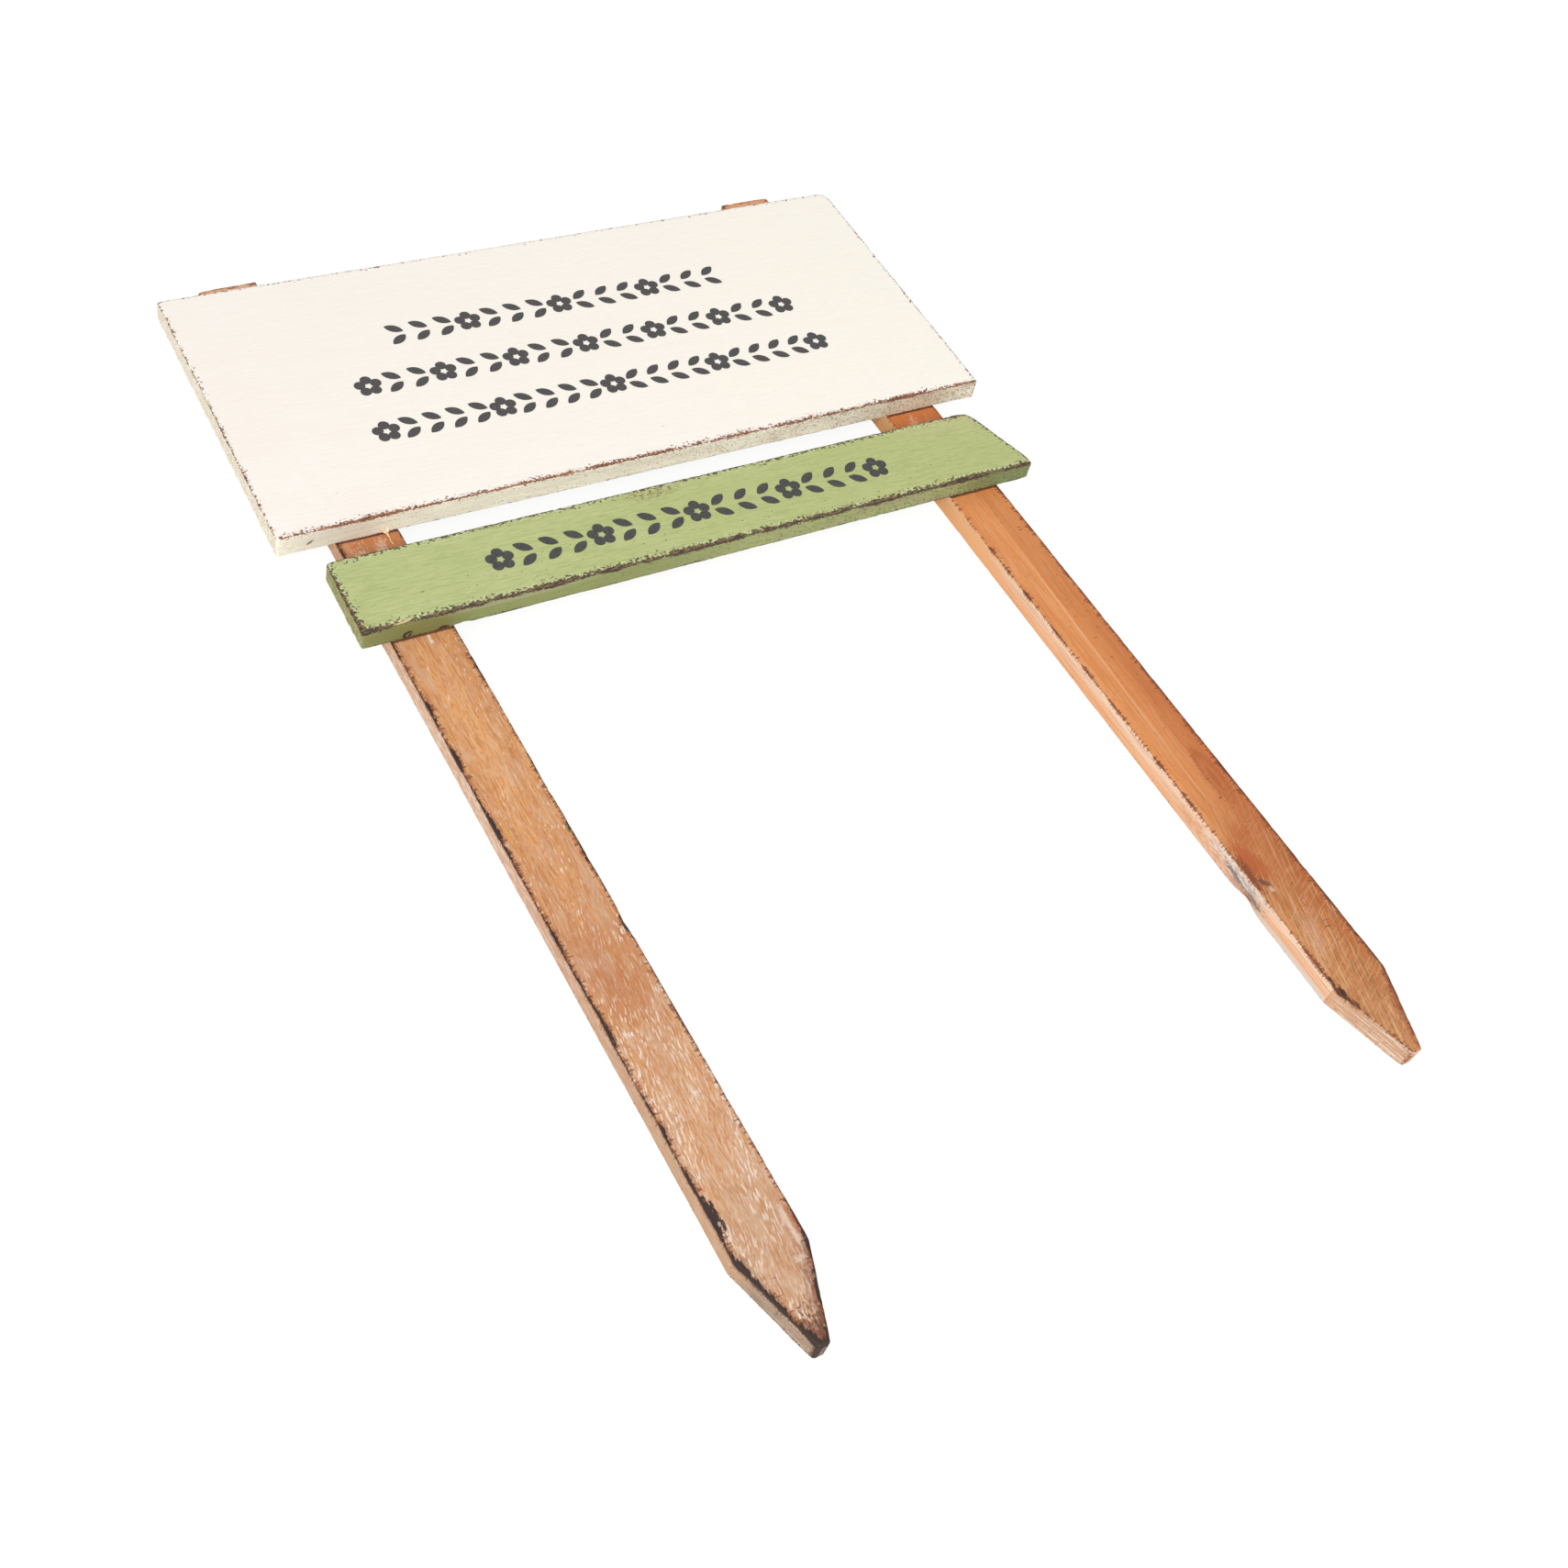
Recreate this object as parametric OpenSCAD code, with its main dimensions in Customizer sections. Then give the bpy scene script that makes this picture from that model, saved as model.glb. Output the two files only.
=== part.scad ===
// Wooden garden sign: a painted board and a painted slat on two pointed stakes.
// It lies on its back. X runs along the boards, Y runs up the sign, Z comes out
// of its front, and the backs of the stakes lie on z = 0. Sizes are millimetres.

/* [Board] */
// Length of the cream board
board_w = 382; // [340:1:520]
// Height of the cream board
board_h = 168.5; // [140:0.5:220]
// Thickness of the cream board
board_t = 11; // [9.5:0.5:18]

/* [Slat] */
// Height of the green slat
slat_h = 44; // [36:1:70]
// Thickness of the green slat
slat_t = 10.5; // [9.5:0.5:18]
// Gap between the board and the slat
slat_gap = 19; // [5:1:60]
// How far the slat's left end stands in from the board's left end
slat_left_inset = 15.5; // [0:0.5:20]
// How far the slat's right end, at its lower edge, stands in from the board's right end
slat_right_inset = 4; // [0:0.5:20]
// How far the slanted cut at the slat's right end runs back at the upper edge
slat_slant = 15; // [0:0.5:20]

/* [Stakes] */
// Length of each stake from its square end to its point
stake_l = 600; // [420:1:800]
// Width of each stake
stake_w = 30; // [24:1:45]
// Thickness of each stake
stake_t = 12; // [10:0.5:20]
// How far the left stake's square end stands above the board
stake_stub = 15.5; // [2:0.5:60]
// How much higher the right stake is fixed than the left one
right_rise = 1; // [0:0.5:10]
// Distance from each end of the board to the middle of its stake, half-way up the board
stake_inset = 41; // [36:0.5:80]
// Angle at which the left stake leans, its point going to the right
left_lean = 1.1; // [0:0.1:3]
// Angle at which the right stake leans, its point going to the right
right_lean = 0.7; // [0:0.1:3]
// Length of the pointed part of each stake
point_l = 39; // [20:1:90]
// How much longer than that the left stake's point is on its left side, and shorter on its right
left_point_skew = 2; // [0:0.5:10]
// Width of the blunt tip
tip_w = 5; // [2:0.5:12]

/* [Edges] */
// Width of the sanded bevel on the edges of the board and the slat
board_bevel = 0.8; // [0.2:0.1:2]
// Width of the sanded bevel on the long edges of the stakes
stake_bevel = 0.6; // [0.2:0.1:2]

/* [Screws] */
// Outer diameter of the screw thread
screw_d = 3.5; // [2.5:0.1:4.5]
// Diameter of the countersunk head
head_d = 7; // [5.5:0.1:9]
// How deep the heads are sunk below the backs of the stakes
head_sink = 0.4; // [0.1:0.1:1]
// Height of the straight rim of the head
head_rim = 0.4; // [0.2:0.1:0.8]
// Wood left between the screw's tip and the front of the thinner board
front_skin = 4; // [2.5:0.1:5]
// Length of the screw's tapered tip
screw_tip = 3; // [1.5:0.1:4]
// Gap between the screw's shank and the hole in the stake
shank_clearance = 0.25; // [0.1:0.05:0.5]
// Gap round the head and the thread where they bed in the wood
seat_clearance = 0.05; // [0.02:0.01:0.1]
// Metal left between the ends of the cross recess and the edge of the head
recess_margin = 1.5; // [1.2:0.1:2]
// Width of each arm of the cross recess
recess_w = 0.9; // [0.5:0.1:1.2]
// Metal left between the bottom of the cross recess and the side of the head
recess_wall = 0.5; // [0.3:0.1:0.8]
// Distance between the two screws that hold the board on a stake
board_screw_gap = 110; // [50:1:120]
// Distance between the two screws that hold the slat on a stake
slat_screw_gap = 20; // [12:1:22]

/* [Stencilled ornament] */
// Thickness of the stencilled paint
paint_t = 0.15; // [0.1:0.05:0.4]
// Distance aimed at from one ornament to the next along a row
motif_pitch = 12.5; // [12:0.5:20]
// Distance between the rows on the board
row_pitch = 32; // [20:0.5:45]
// How far the rows on the board climb to the right, in degrees
row_climb = 0.4; // [0:0.1:1]
// Length of the upper row
upper_row_w = 192; // [120:1:320]
// Length of the middle row
middle_row_w = 246; // [120:1:320]
// Length of the lower row
lower_row_w = 253; // [120:1:320]
// Length of the row on the slat
slat_row_w = 217; // [120:1:280]
// Steps from one flower to the next in the upper row
upper_flower_step = 4; // [2:1:8]
// Steps from one flower to the next in the middle row
middle_flower_step = 3; // [2:1:8]
// Steps from one flower to the next in the lower row
lower_flower_step = 5; // [2:1:8]
// Steps from one flower to the next in the row on the slat
slat_flower_step = 4; // [2:1:8]
// Diameter of a flower, from petal to petal
flower_d = 14; // [11:0.5:15]
// Diameter of one petal
petal_d = 5.5; // [5.3:0.1:6.5]
// Length of a leaf
leaf_l = 9.8; // [7:0.1:10.5]
// Width of a leaf
leaf_w = 4.7; // [2.5:0.1:5.2]
// Angle between a leaf and its row
leaf_angle = 33; // [25:1:60]
// Distance from the middle of a leaf to the middle line of its row
leaf_rise = 4.1; // [3.8:0.1:6]

/* [Hidden] */

$fn = 48;
// Overlap of a cutting shape past the face that it cuts
over = 1;

cream = "#f6eee2";
green = "#a9b878";
left_wood = "#cf9865";
right_wood = "#cc8852";
steel = "#b9b9b4";
ink = "#4b4a49";

// Each stake: [side, lean, how far its square end stands above the board, skew of its point]
LEFT = [-1, left_lean, stake_stub, left_point_skew];
RIGHT = [1, right_lean, stake_stub + right_rise, 0];
STAKES = [LEFT, RIGHT];

// Distance from the middle of the board's height to a stake's square end, and to its tip
function above(stake) = board_h / 2 + stake[2];
function below(stake) = stake_l - above(stake);
// Highest and lowest point of a leaning stake, from the middle of the board's height
function highest(stake) = above(stake) * cos(stake[1]) + stake_w / 2 * sin(stake[1]);
function lowest(stake) = -below(stake) * cos(stake[1]) - tip_w / 2 * sin(stake[1]);

// Middle of the board's height, set so that the sign's middle is at y = 0
board_y = -(max(highest(LEFT), highest(RIGHT)) + min(lowest(LEFT), lowest(RIGHT))) / 2;
slat_y = board_y - board_h / 2 - slat_gap - slat_h / 2;
slat_w = board_w - slat_left_inset - slat_right_inset;
slat_x = (slat_left_inset - slat_right_inset) / 2;
front_board_z = stake_t + board_t;
front_slat_z = stake_t + slat_t;

shank_r = screw_d / 2;
screw_l = stake_t + min(board_t, slat_t) - front_skin - head_sink;
cone_h = head_d / 2 - shank_r;
recess_l = head_d - 2 * recess_margin;
recess_depth = head_rim + recess_margin - recess_wall;
petal_ring_r = (flower_d - petal_d) / 2;
petals = 5;

// Places what follows in a stake's own frame: its middle line is x = 0, and
// y = 0 is half-way up the board
module on_stake(stake) {
    translate([stake[0] * (board_w / 2 - stake_inset), board_y, 0])
        rotate([0, 0, stake[1]])
            children();
}

// Places what follows at each of a stake's two screws around the middle y
module screw_pair(stake, y, gap) {
    on_stake(stake)
        for (side = [-1, 1])
            translate([0, (y - board_y) / cos(stake[1]) + side * gap / 2, 0])
                children();
}

module board_screw_places() {
    for (stake = STAKES) screw_pair(stake, board_y, board_screw_gap) children();
}

module slat_screw_places() {
    for (stake = STAKES) screw_pair(stake, slat_y, slat_screw_gap) children();
}

// A rectangle with its corners cut off
module bevelled_rectangle(w, h, bevel) {
    x = w / 2;
    y = h / 2;
    polygon([
        [bevel - x, -y], [x - bevel, -y], [x, bevel - y], [x, y - bevel],
        [x - bevel, y], [bevel - x, y], [-x, y - bevel], [-x, bevel - y],
    ]);
}

// A plank centred on x and y, standing on z = 0, with a bevel on all its edges
module plank(w, h, t, bevel) {
    translate([0, 0, t / 2])
        intersection() {
            linear_extrude(t, center = true) bevelled_rectangle(w, h, bevel);
            rotate([90, 0, 0])
                linear_extrude(h, center = true) bevelled_rectangle(w, t, bevel);
            rotate([90, 0, 90])
                linear_extrude(w, center = true) bevelled_rectangle(h, t, bevel);
        }
}

// A countersunk wood screw, head at the bottom and tip at the top, with its
// head's face at z = 0
module wood_screw() {
    difference() {
        union() {
            cylinder(h = head_rim, d = head_d);
            translate([0, 0, head_rim]) cylinder(h = cone_h, r1 = head_d / 2, r2 = shank_r);
            cylinder(h = screw_l - screw_tip, r = shank_r);
            translate([0, 0, screw_l - screw_tip])
                cylinder(h = screw_tip, r1 = shank_r, r2 = shank_r / 6);
        }
        for (turn = [0, 90])
            rotate([0, 0, turn])
                translate([-recess_l / 2, -recess_w / 2, -over])
                    cube([recess_l, recess_w, recess_depth + over]);
    }
}

// What a screw's head and shank take out of a stake
module countersunk_hole() {
    head_r = head_d / 2 + seat_clearance;
    hole_r = shank_r + shank_clearance;
    rim_top = head_sink + head_rim + seat_clearance;
    translate([0, 0, -over]) cylinder(h = rim_top + over, r = head_r);
    translate([0, 0, rim_top]) cylinder(h = head_r - hole_r, r1 = head_r, r2 = hole_r);
    translate([0, 0, -over]) cylinder(h = stake_t + 2 * over, r = hole_r);
}

// What a screw's thread takes out of the board or the slat
module pilot_hole() {
    translate([0, 0, stake_t - over])
        cylinder(
            h = head_sink + screw_l + seat_clearance - stake_t + over,
            r = shank_r + seat_clearance
        );
}

// The outline of a stake in its own frame, with the point at the bottom
module stake_outline(stake) {
    x = stake_w / 2;
    top = above(stake);
    tip = -below(stake);
    polygon([
        [-x, top], [-x, tip + point_l + stake[3]], [-tip_w / 2, tip],
        [tip_w / 2, tip], [x, tip + point_l - stake[3]], [x, top],
    ]);
}

module stake_wood(stake) {
    difference() {
        on_stake(stake)
            intersection() {
                linear_extrude(stake_t) stake_outline(stake);
                translate([0, 0, stake_t / 2])
                    rotate([90, 0, 0])
                        linear_extrude(2 * stake_l, center = true)
                            bevelled_rectangle(stake_w, stake_t, stake_bevel);
            }
        screw_pair(stake, board_y, board_screw_gap) countersunk_hole();
        screw_pair(stake, slat_y, slat_screw_gap) countersunk_hole();
    }
}

// A flower of round petals, open in the middle
module flower() {
    for (i = [0 : petals - 1])
        rotate(90 + i * 360 / petals)
            translate([petal_ring_r, 0])
                circle(d = petal_d);
}

// A leaf pointed at both ends, lying along x
module leaf() {
    r = (pow(leaf_l, 2) + pow(leaf_w, 2)) / (4 * leaf_w);
    intersection() {
        translate([0, leaf_w / 2 - r]) circle(r = r, $fn = 96);
        translate([0, r - leaf_w / 2]) circle(r = r, $fn = 96);
    }
}

// Two leaves that spread from the row's middle line, away from the row's centre
module leaf_pair() {
    for (side = [-1, 1])
        translate([0, side * leaf_rise])
            rotate(side * leaf_angle)
                leaf();
}

// A row of flowers and leaves of the given length, the same on both sides of its
// centre, with a flower every flower_step ornaments
module garland(length, flower_step) {
    half = (length - flower_d) / 2;
    reach = round(half / motif_pitch);
    for (i = [-reach : reach])
        translate([i * half / reach, 0])
            if (i % flower_step == 0) flower();
            else mirror([i < 0 ? 1 : 0, 0]) leaf_pair();
}

// The cream board, with blind holes for the screws in its back
module main_board() {
    color(cream)
        difference() {
            translate([0, board_y, stake_t]) plank(board_w, board_h, board_t, board_bevel);
            board_screw_places() pilot_hole();
        }
}

// The green slat, cut at a slant at its right end
module slat() {
    color(green)
        difference() {
            translate([slat_x, slat_y, stake_t]) plank(slat_w, slat_h, slat_t, board_bevel);
            translate([slat_x + slat_w / 2, slat_y - slat_h / 2, stake_t - over])
                linear_extrude(slat_t + 2 * over)
                    polygon([
                        [0, 0], [over, 0], [over, slat_h + over],
                        [-slat_slant, slat_h + over], [-slat_slant, slat_h],
                    ]);
            slat_screw_places() pilot_hole();
        }
}

// The stake at the sign's left
module left_stake() {
    color(left_wood) stake_wood(LEFT);
}

// The stake at the sign's right
module right_stake() {
    color(right_wood) stake_wood(RIGHT);
}

// The eight screws, driven from behind
module screws() {
    color(steel) {
        board_screw_places() translate([0, 0, head_sink]) wood_screw();
        slat_screw_places() translate([0, 0, head_sink]) wood_screw();
    }
}

// Three rows of paint on the front of the board
module board_stencil() {
    color(ink)
        translate([0, board_y, front_board_z])
            linear_extrude(paint_t)
                rotate(row_climb) {
                    translate([0, row_pitch]) garland(upper_row_w, upper_flower_step);
                    garland(middle_row_w, middle_flower_step);
                    translate([0, -row_pitch]) garland(lower_row_w, lower_flower_step);
                }
}

// One row of paint on the front of the slat
module slat_stencil() {
    color(ink)
        translate([0, slat_y, front_slat_z])
            linear_extrude(paint_t)
                garland(slat_row_w, slat_flower_step);
}

main_board();
slat();
left_stake();
right_stake();
screws();
board_stencil();
slat_stencil();
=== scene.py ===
"""A wooden garden sign: a cream board and a green slat on two pointed stakes, lying on its back.
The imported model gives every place; the worn wood is modelled here around it."""

import math
from statistics import NormalDist

import bmesh
import bpy
import numpy as np
from mathutils import Matrix, Vector, noise


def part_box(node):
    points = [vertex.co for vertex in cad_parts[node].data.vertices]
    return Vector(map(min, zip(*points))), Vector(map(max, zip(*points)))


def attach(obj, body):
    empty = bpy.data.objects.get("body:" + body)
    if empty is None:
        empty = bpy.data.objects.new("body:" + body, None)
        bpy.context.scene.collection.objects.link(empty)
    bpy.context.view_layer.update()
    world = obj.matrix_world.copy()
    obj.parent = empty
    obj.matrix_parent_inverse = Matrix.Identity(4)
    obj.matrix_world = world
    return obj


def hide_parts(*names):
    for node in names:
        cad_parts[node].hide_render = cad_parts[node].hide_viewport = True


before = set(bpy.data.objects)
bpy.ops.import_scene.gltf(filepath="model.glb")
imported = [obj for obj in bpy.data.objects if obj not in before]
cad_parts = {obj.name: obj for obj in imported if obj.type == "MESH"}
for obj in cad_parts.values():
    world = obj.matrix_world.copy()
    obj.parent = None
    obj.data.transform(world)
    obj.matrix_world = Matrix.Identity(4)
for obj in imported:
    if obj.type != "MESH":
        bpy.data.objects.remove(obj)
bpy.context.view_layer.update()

MM = 0.001

# The stakes, in mm, as the part's source has them
STAKE_W = 30.0
STAKE_T = 12.0
STAKE_L = 600.0
TIP_W = 5.0
POINT_L = 39.0
STAKE_INSET = 41.0
SCREW_HEAD_R = 3.5
HEAD_SINK = 0.4
HEAD_RIM = 0.4
SHANK_R = 1.75
BOARD_SCREW_GAP = 110.0
SLAT_SCREW_GAP = 20.0
SLAT_SLANT = 15.0

# Side of the sign, lean in degrees, wood above the board's middle, and how much
# higher the left shoulder of the point starts than the right one, in mm
LEFT_STAKE = {"side": -1, "lean": 1.1, "above": 99.75, "skew": 2.0}
RIGHT_STAKE = {"side": 1, "lean": 0.7, "above": 100.75, "skew": 0.0}

# Mesh lines next to an edge, mm from it, so that its rounding and nicks have shape
NEAR_EDGE = (0.0, 0.3, 0.7, 1.2, 2.0)
ROUNDING_PASSES = 6
# How an edge wears: the share by which its radius varies in bumps of some mm, and nibbles of
# some mm, which start where their noise passes a level and reach some mm in from the edge
RADIUS_VARIES, RADIUS_BUMP = 0.55, 9.0
NIBBLE_SIZE, NIBBLE_FROM, NIBBLE_REACH = 2.6, 0.12, 2.2
# The holes for the screws: free room around the head and the shank, depth, and how far around
# one the flat back is opened to fit it in
HEAD_ROOM, SHANK_ROOM = 0.05, 0.25
HOLE_DEPTH, OPENED_AROUND = 2.4, 1.6
HOLE_SIDES = 32
# How much less a hole's rim wears than an edge, as mm further from it
RIM_SPARED = 0.4
STRAND_SIDES = 10

# The six sides of a ruled block, in the order that block_surface() makes them
LOW_X, HIGH_X, LOW_Y, HIGH_Y, BACK, FRONT = range(6)
HOLE, SLOPE = 6, 7


def mm_box(node):
    """Lowest and highest corner of a CAD node, in mm."""
    low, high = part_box(node)
    return np.array(low) / MM, np.array(high) / MM


BOARD_LOW, BOARD_HIGH = mm_box("main_board")
SLAT_LOW, SLAT_HIGH = mm_box("slat")
BOARD_W, BOARD_H = (BOARD_HIGH - BOARD_LOW)[:2]
SLAT_W, SLAT_H = (SLAT_HIGH - SLAT_LOW)[:2]
BOARD_Y = (BOARD_LOW[1] + BOARD_HIGH[1]) / 2
SLAT_Y = (SLAT_LOW[1] + SLAT_HIGH[1]) / 2


# Shapes

def grid_lines(length, step):
    """Places of mesh lines along a length: close near both ends, step mm apart between."""
    near = np.array(NEAR_EDGE)
    count = max(2, math.ceil((length - 2 * near[-1]) / step) + 1)
    middle = np.linspace(near[-1], length - near[-1], count)
    return np.concatenate([near[:-1], middle, length - near[-2::-1]])


def block_surface(lines):
    """Points, quads and each quad's side, for a block's surface ruled by three sets of lines."""
    counts = [len(places) for places in lines]
    grid = np.indices(counts)
    skin = np.zeros(counts, bool)
    for axis in range(3):
        skin |= (grid[axis] == 0) | (grid[axis] == counts[axis] - 1)
    number = np.full(counts, -1)
    number[skin] = np.arange(skin.sum())
    points = np.stack([lines[axis][grid[axis][skin]] for axis in range(3)], axis=1)
    quads, sides = [], []
    for axis in range(3):
        order = ((axis + 1) % 3, (axis + 2) % 3, axis)
        for end in (0, -1):
            face = np.moveaxis(number, order, (0, 1, 2))[:, :, end]
            ring = [face[:-1, :-1], face[1:, :-1], face[1:, 1:], face[:-1, 1:]]
            if end == 0:
                ring.reverse()
            quads.append(np.stack(ring, axis=-1).reshape(-1, 4))
            sides.append(np.full(len(quads[-1]), 2 * axis - end))
    return points, np.concatenate(quads), np.concatenate(sides)


def rough(points, size, shift=0.0):
    """Smooth noise, about -1 to 1, with bumps of the given size in mm along x, y and z. A shift
    of its own keeps a pattern from lying on another."""
    return np.array([noise.noise(p) for p in (points / np.array(size) + shift).tolist()])


def around(points, spots):
    """The strongest of the soft spots at each point; a spot is (centre, half size, strength)."""
    field = np.zeros(len(points))
    for centre, half, strength in spots:
        far = (((points - np.array(centre)) / np.array(half)) ** 2).sum(axis=1)
        field = np.maximum(field, strength * np.exp(-far))
    return field


def outline_planes(corners):
    """The upright planes of a convex outline, anticlockwise: outward normals and offsets."""
    planes = []
    for (x0, y0), (x1, y1) in zip(corners, corners[1:] + corners[:1]):
        normal = np.array([y1 - y0, x0 - x1, 0.0])
        normal /= np.linalg.norm(normal)
        planes.append((normal, normal @ (x0, y0, 0.0)))
    return planes


def round_edges(points, planes, radius):
    """Rounds the edges where planes meet by each point's radius; also gives outward directions."""
    core = points.copy()
    for _ in range(ROUNDING_PASSES):
        for normal, offset in planes:
            over = np.maximum(core @ normal - offset + radius, 0)
            core -= over[:, None] * normal
    away = points - core
    length = np.linalg.norm(away, axis=1, keepdims=True)
    outward = away / np.maximum(length, 1e-9)
    return np.where(length > 1e-6, core + outward * radius[:, None], points), outward


def circle_of(bm, centre, across, up, sides):
    """A ring of new vertices around a centre, from the two half axes."""
    turns = [i * math.tau / sides for i in range(sides)]
    return [bm.verts.new(centre + across * math.cos(a) + up * math.sin(a)) for a in turns]


def skin_between(bm, rings):
    """New faces that join each ring to the next."""
    faces = []
    for ring, following in zip(rings, rings[1:]):
        for i, corner in enumerate(ring):
            j = (i + 1) % len(ring)
            faces.append(bm.faces.new((corner, ring[j], following[j], following[i])))
    return faces


def sink_screw_holes(mesh, places):
    """Opens a stake's back at each place and sinks a countersunk hole that clears the head."""
    head_r = SCREW_HEAD_R + HEAD_ROOM
    rings = [
        (head_r, 0.0), (head_r, HEAD_SINK + HEAD_RIM + HEAD_ROOM),
        (SHANK_R + SHANK_ROOM, HOLE_DEPTH),
    ]
    bm = bmesh.new()
    bm.from_mesh(mesh)
    for place in places:
        cut = [
            face for face in bm.faces
            if face.material_index == BACK
            and (face.calc_center_median().xy - Vector(place)).length < head_r + OPENED_AROUND
        ]
        opened = set(cut)
        mouth = [
            edge for edge in {edge for face in cut for edge in face.edges}
            if any(face not in opened for face in edge.link_faces)
        ]
        bmesh.ops.delete(bm, geom=cut, context="FACES")
        circles = [
            circle_of(bm, Vector((*place, z)), Vector((r, 0, 0)), Vector((0, r, 0)), HOLE_SIDES)
            for r, z in rings
        ]
        rim = [bm.edges.new(pair) for pair in zip(circles[0], circles[0][1:] + circles[0][:1])]
        for face in bmesh.ops.bridge_loops(bm, edges=mouth + rim)["faces"]:
            face.material_index = BACK
        for face in skin_between(bm, circles) + [bm.faces.new(circles[-1])]:
            face.material_index = HOLE
    bmesh.ops.recalc_face_normals(bm, faces=bm.faces)
    bm.to_mesh(mesh)
    bm.free()


def put_on_sign(name, mesh):
    """Links a mesh as a piece that rides on the sign, and returns the piece."""
    piece = bpy.data.objects.new(name, mesh)
    bpy.context.scene.collection.objects.link(piece)
    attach(piece, "root")
    return piece


def wooden_piece(name, shape, finishes):
    """Makes one worn piece of wood from its shape, and the fields that its finishes read.

    shape holds the sharp points in the piece's own frame in mm, and how they wear. The
    fields are grain_mm, a point's place along the grain, across it and from the back;
    edge_mm, its distance from the nearest worn edge; wear, how strongly that edge is
    worn; wash, how thickly the whitewash lies; and deep, how far the stain has sunk in,
    which on the stakes also holds painted shade in the gap between the slat and the board.
    """
    mesh = bpy.data.meshes.new(name)
    mesh.from_pydata(shape["points"].tolist(), [], shape["quads"].tolist())
    mesh.polygons.foreach_set("material_index", shape["sides"].astype(np.int32))
    if shape.get("screws"):
        sink_screw_holes(mesh, shape["screws"])
    points = np.array([v.co for v in mesh.vertices])

    low, high = shape["depth"]
    planes = shape["planes"] + [(np.array([0, 0, 1.0]), high), (np.array([0, 0, -1.0]), -low)]
    to_side = np.stack([offset - points @ normal for normal, offset in shape["planes"]])
    outline = np.maximum(to_side.min(axis=0), 0)
    front_edge = np.maximum(outline, high - points[:, 2])
    back_edge = np.maximum(outline, points[:, 2] - low)
    corner = np.min([
        np.hypot(points[:, 0] - x, points[:, 1] - y) for x, y in shape["corners"]
    ], axis=0)
    edge = np.minimum(np.minimum(front_edge, corner), back_edge + shape["back_spared"])
    for x, y in shape.get("screws", []):
        rim = np.abs(np.hypot(points[:, 0] - x, points[:, 1] - y) - SCREW_HEAD_R)
        on_back = points[:, 2] < low + 0.1
        edge = np.where(on_back, np.minimum(edge, rim + RIM_SPARED), edge)

    radius = shape["radius"] * (1 + RADIUS_VARIES * rough(points, [RADIUS_BUMP] * 3, 3.0))
    radius = radius + around(points, shape["rubbed"])
    points, outward = round_edges(points, planes, radius)
    relief = 0.5 + 0.5 * rough(points, shape["relief_size"], 7.0)
    nibble = np.maximum(rough(points, [NIBBLE_SIZE] * 3, 11.0) - NIBBLE_FROM, 0)
    nibble *= np.clip(1 - edge / NIBBLE_REACH, 0, 1) * shape["nibble"]
    depth = shape["relief"] * relief + nibble + around(points, shape["dents"])
    if "torn" in shape:
        depth += shape["torn"](points)
    points = points - outward * depth[:, None]

    strength = np.array(shape["wear"])[to_side.argmin(axis=0)]
    along, across = shape["grain"]
    fields = {
        "edge_mm": edge,
        "wear": strength + around(points, shape["patches"]),
        "wash": shape["wash"](points),
        "deep": shape["deep"](points),
    }
    for field, values in fields.items():
        stored = mesh.attributes.new(field, "FLOAT", "POINT")
        stored.data.foreach_set("value", values.astype(np.float32))
    stored = mesh.attributes.new("grain_mm", "FLOAT_VECTOR", "POINT")
    stored.data.foreach_set(
        "vector", points[:, (along, across, 2)].astype(np.float32).ravel()
    )

    to_row = shape["place"]
    placed = points @ to_row[:3, :3].T + to_row[:3, 3]
    mesh.vertices.foreach_set("co", (placed * MM).astype(np.float32).ravel())
    sides = np.zeros(len(mesh.polygons), np.int32)
    mesh.polygons.foreach_get("material_index", sides)
    for finish in finishes["materials"]:
        mesh.materials.append(finish)
    mesh.polygons.foreach_set("material_index", np.array(finishes["on_sides"], np.int32)[sides])
    mesh.polygons.foreach_set("use_smooth", np.ones(len(sides), bool))
    mesh.update()
    piece = put_on_sign(name, mesh)
    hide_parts(name)
    return piece


def sawn_board(low, high, steps, slant, wash_middle, fibres, **looks):
    """A board in a frame centred on its outline, its right end cut to a slant of slant mm.

    low and high are its corners in the row frame. Its whitewash grows to the right from
    wash_middle in the middle. Its left end is sawn across the grain: fibres tells how that
    tore it, as their size in mm, where their pattern starts, how common they are, and how
    deep they go in mm.
    """
    width, height, _ = high - low
    w, h = width / 2, height / 2
    points, quads, sides = block_surface([
        grid_lines(size, step) for size, step in zip(high - low, steps)
    ])
    points[:, 0] *= 1 - slant / width * points[:, 1] / height
    points -= (w, h, -low[2])
    corners = [(-w, -h), (w, -h), (w - slant, h), (-w, h)]
    size, start, common, deep = fibres

    def torn(p):
        """How deep the saw tore each point near the left end."""
        pulled = np.maximum(rough(p, size, start) + common, 0)
        return deep * pulled * np.clip(1 - (p[:, 0] + w), 0, 1)

    x, y, _ = (low + high) / 2
    return {
        "points": points, "quads": quads, "sides": sides, "depth": (low[2], high[2]),
        "planes": outline_planes(corners), "corners": corners[1:], "torn": torn,
        "wash": lambda p: np.clip(wash_middle + p[:, 0] / width, 0, 1),
        "deep": lambda p: np.zeros(len(p)), "grain": (0, 1),
        "place": np.array(Matrix.Translation((x, y, 0))), **looks,
    }


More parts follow.
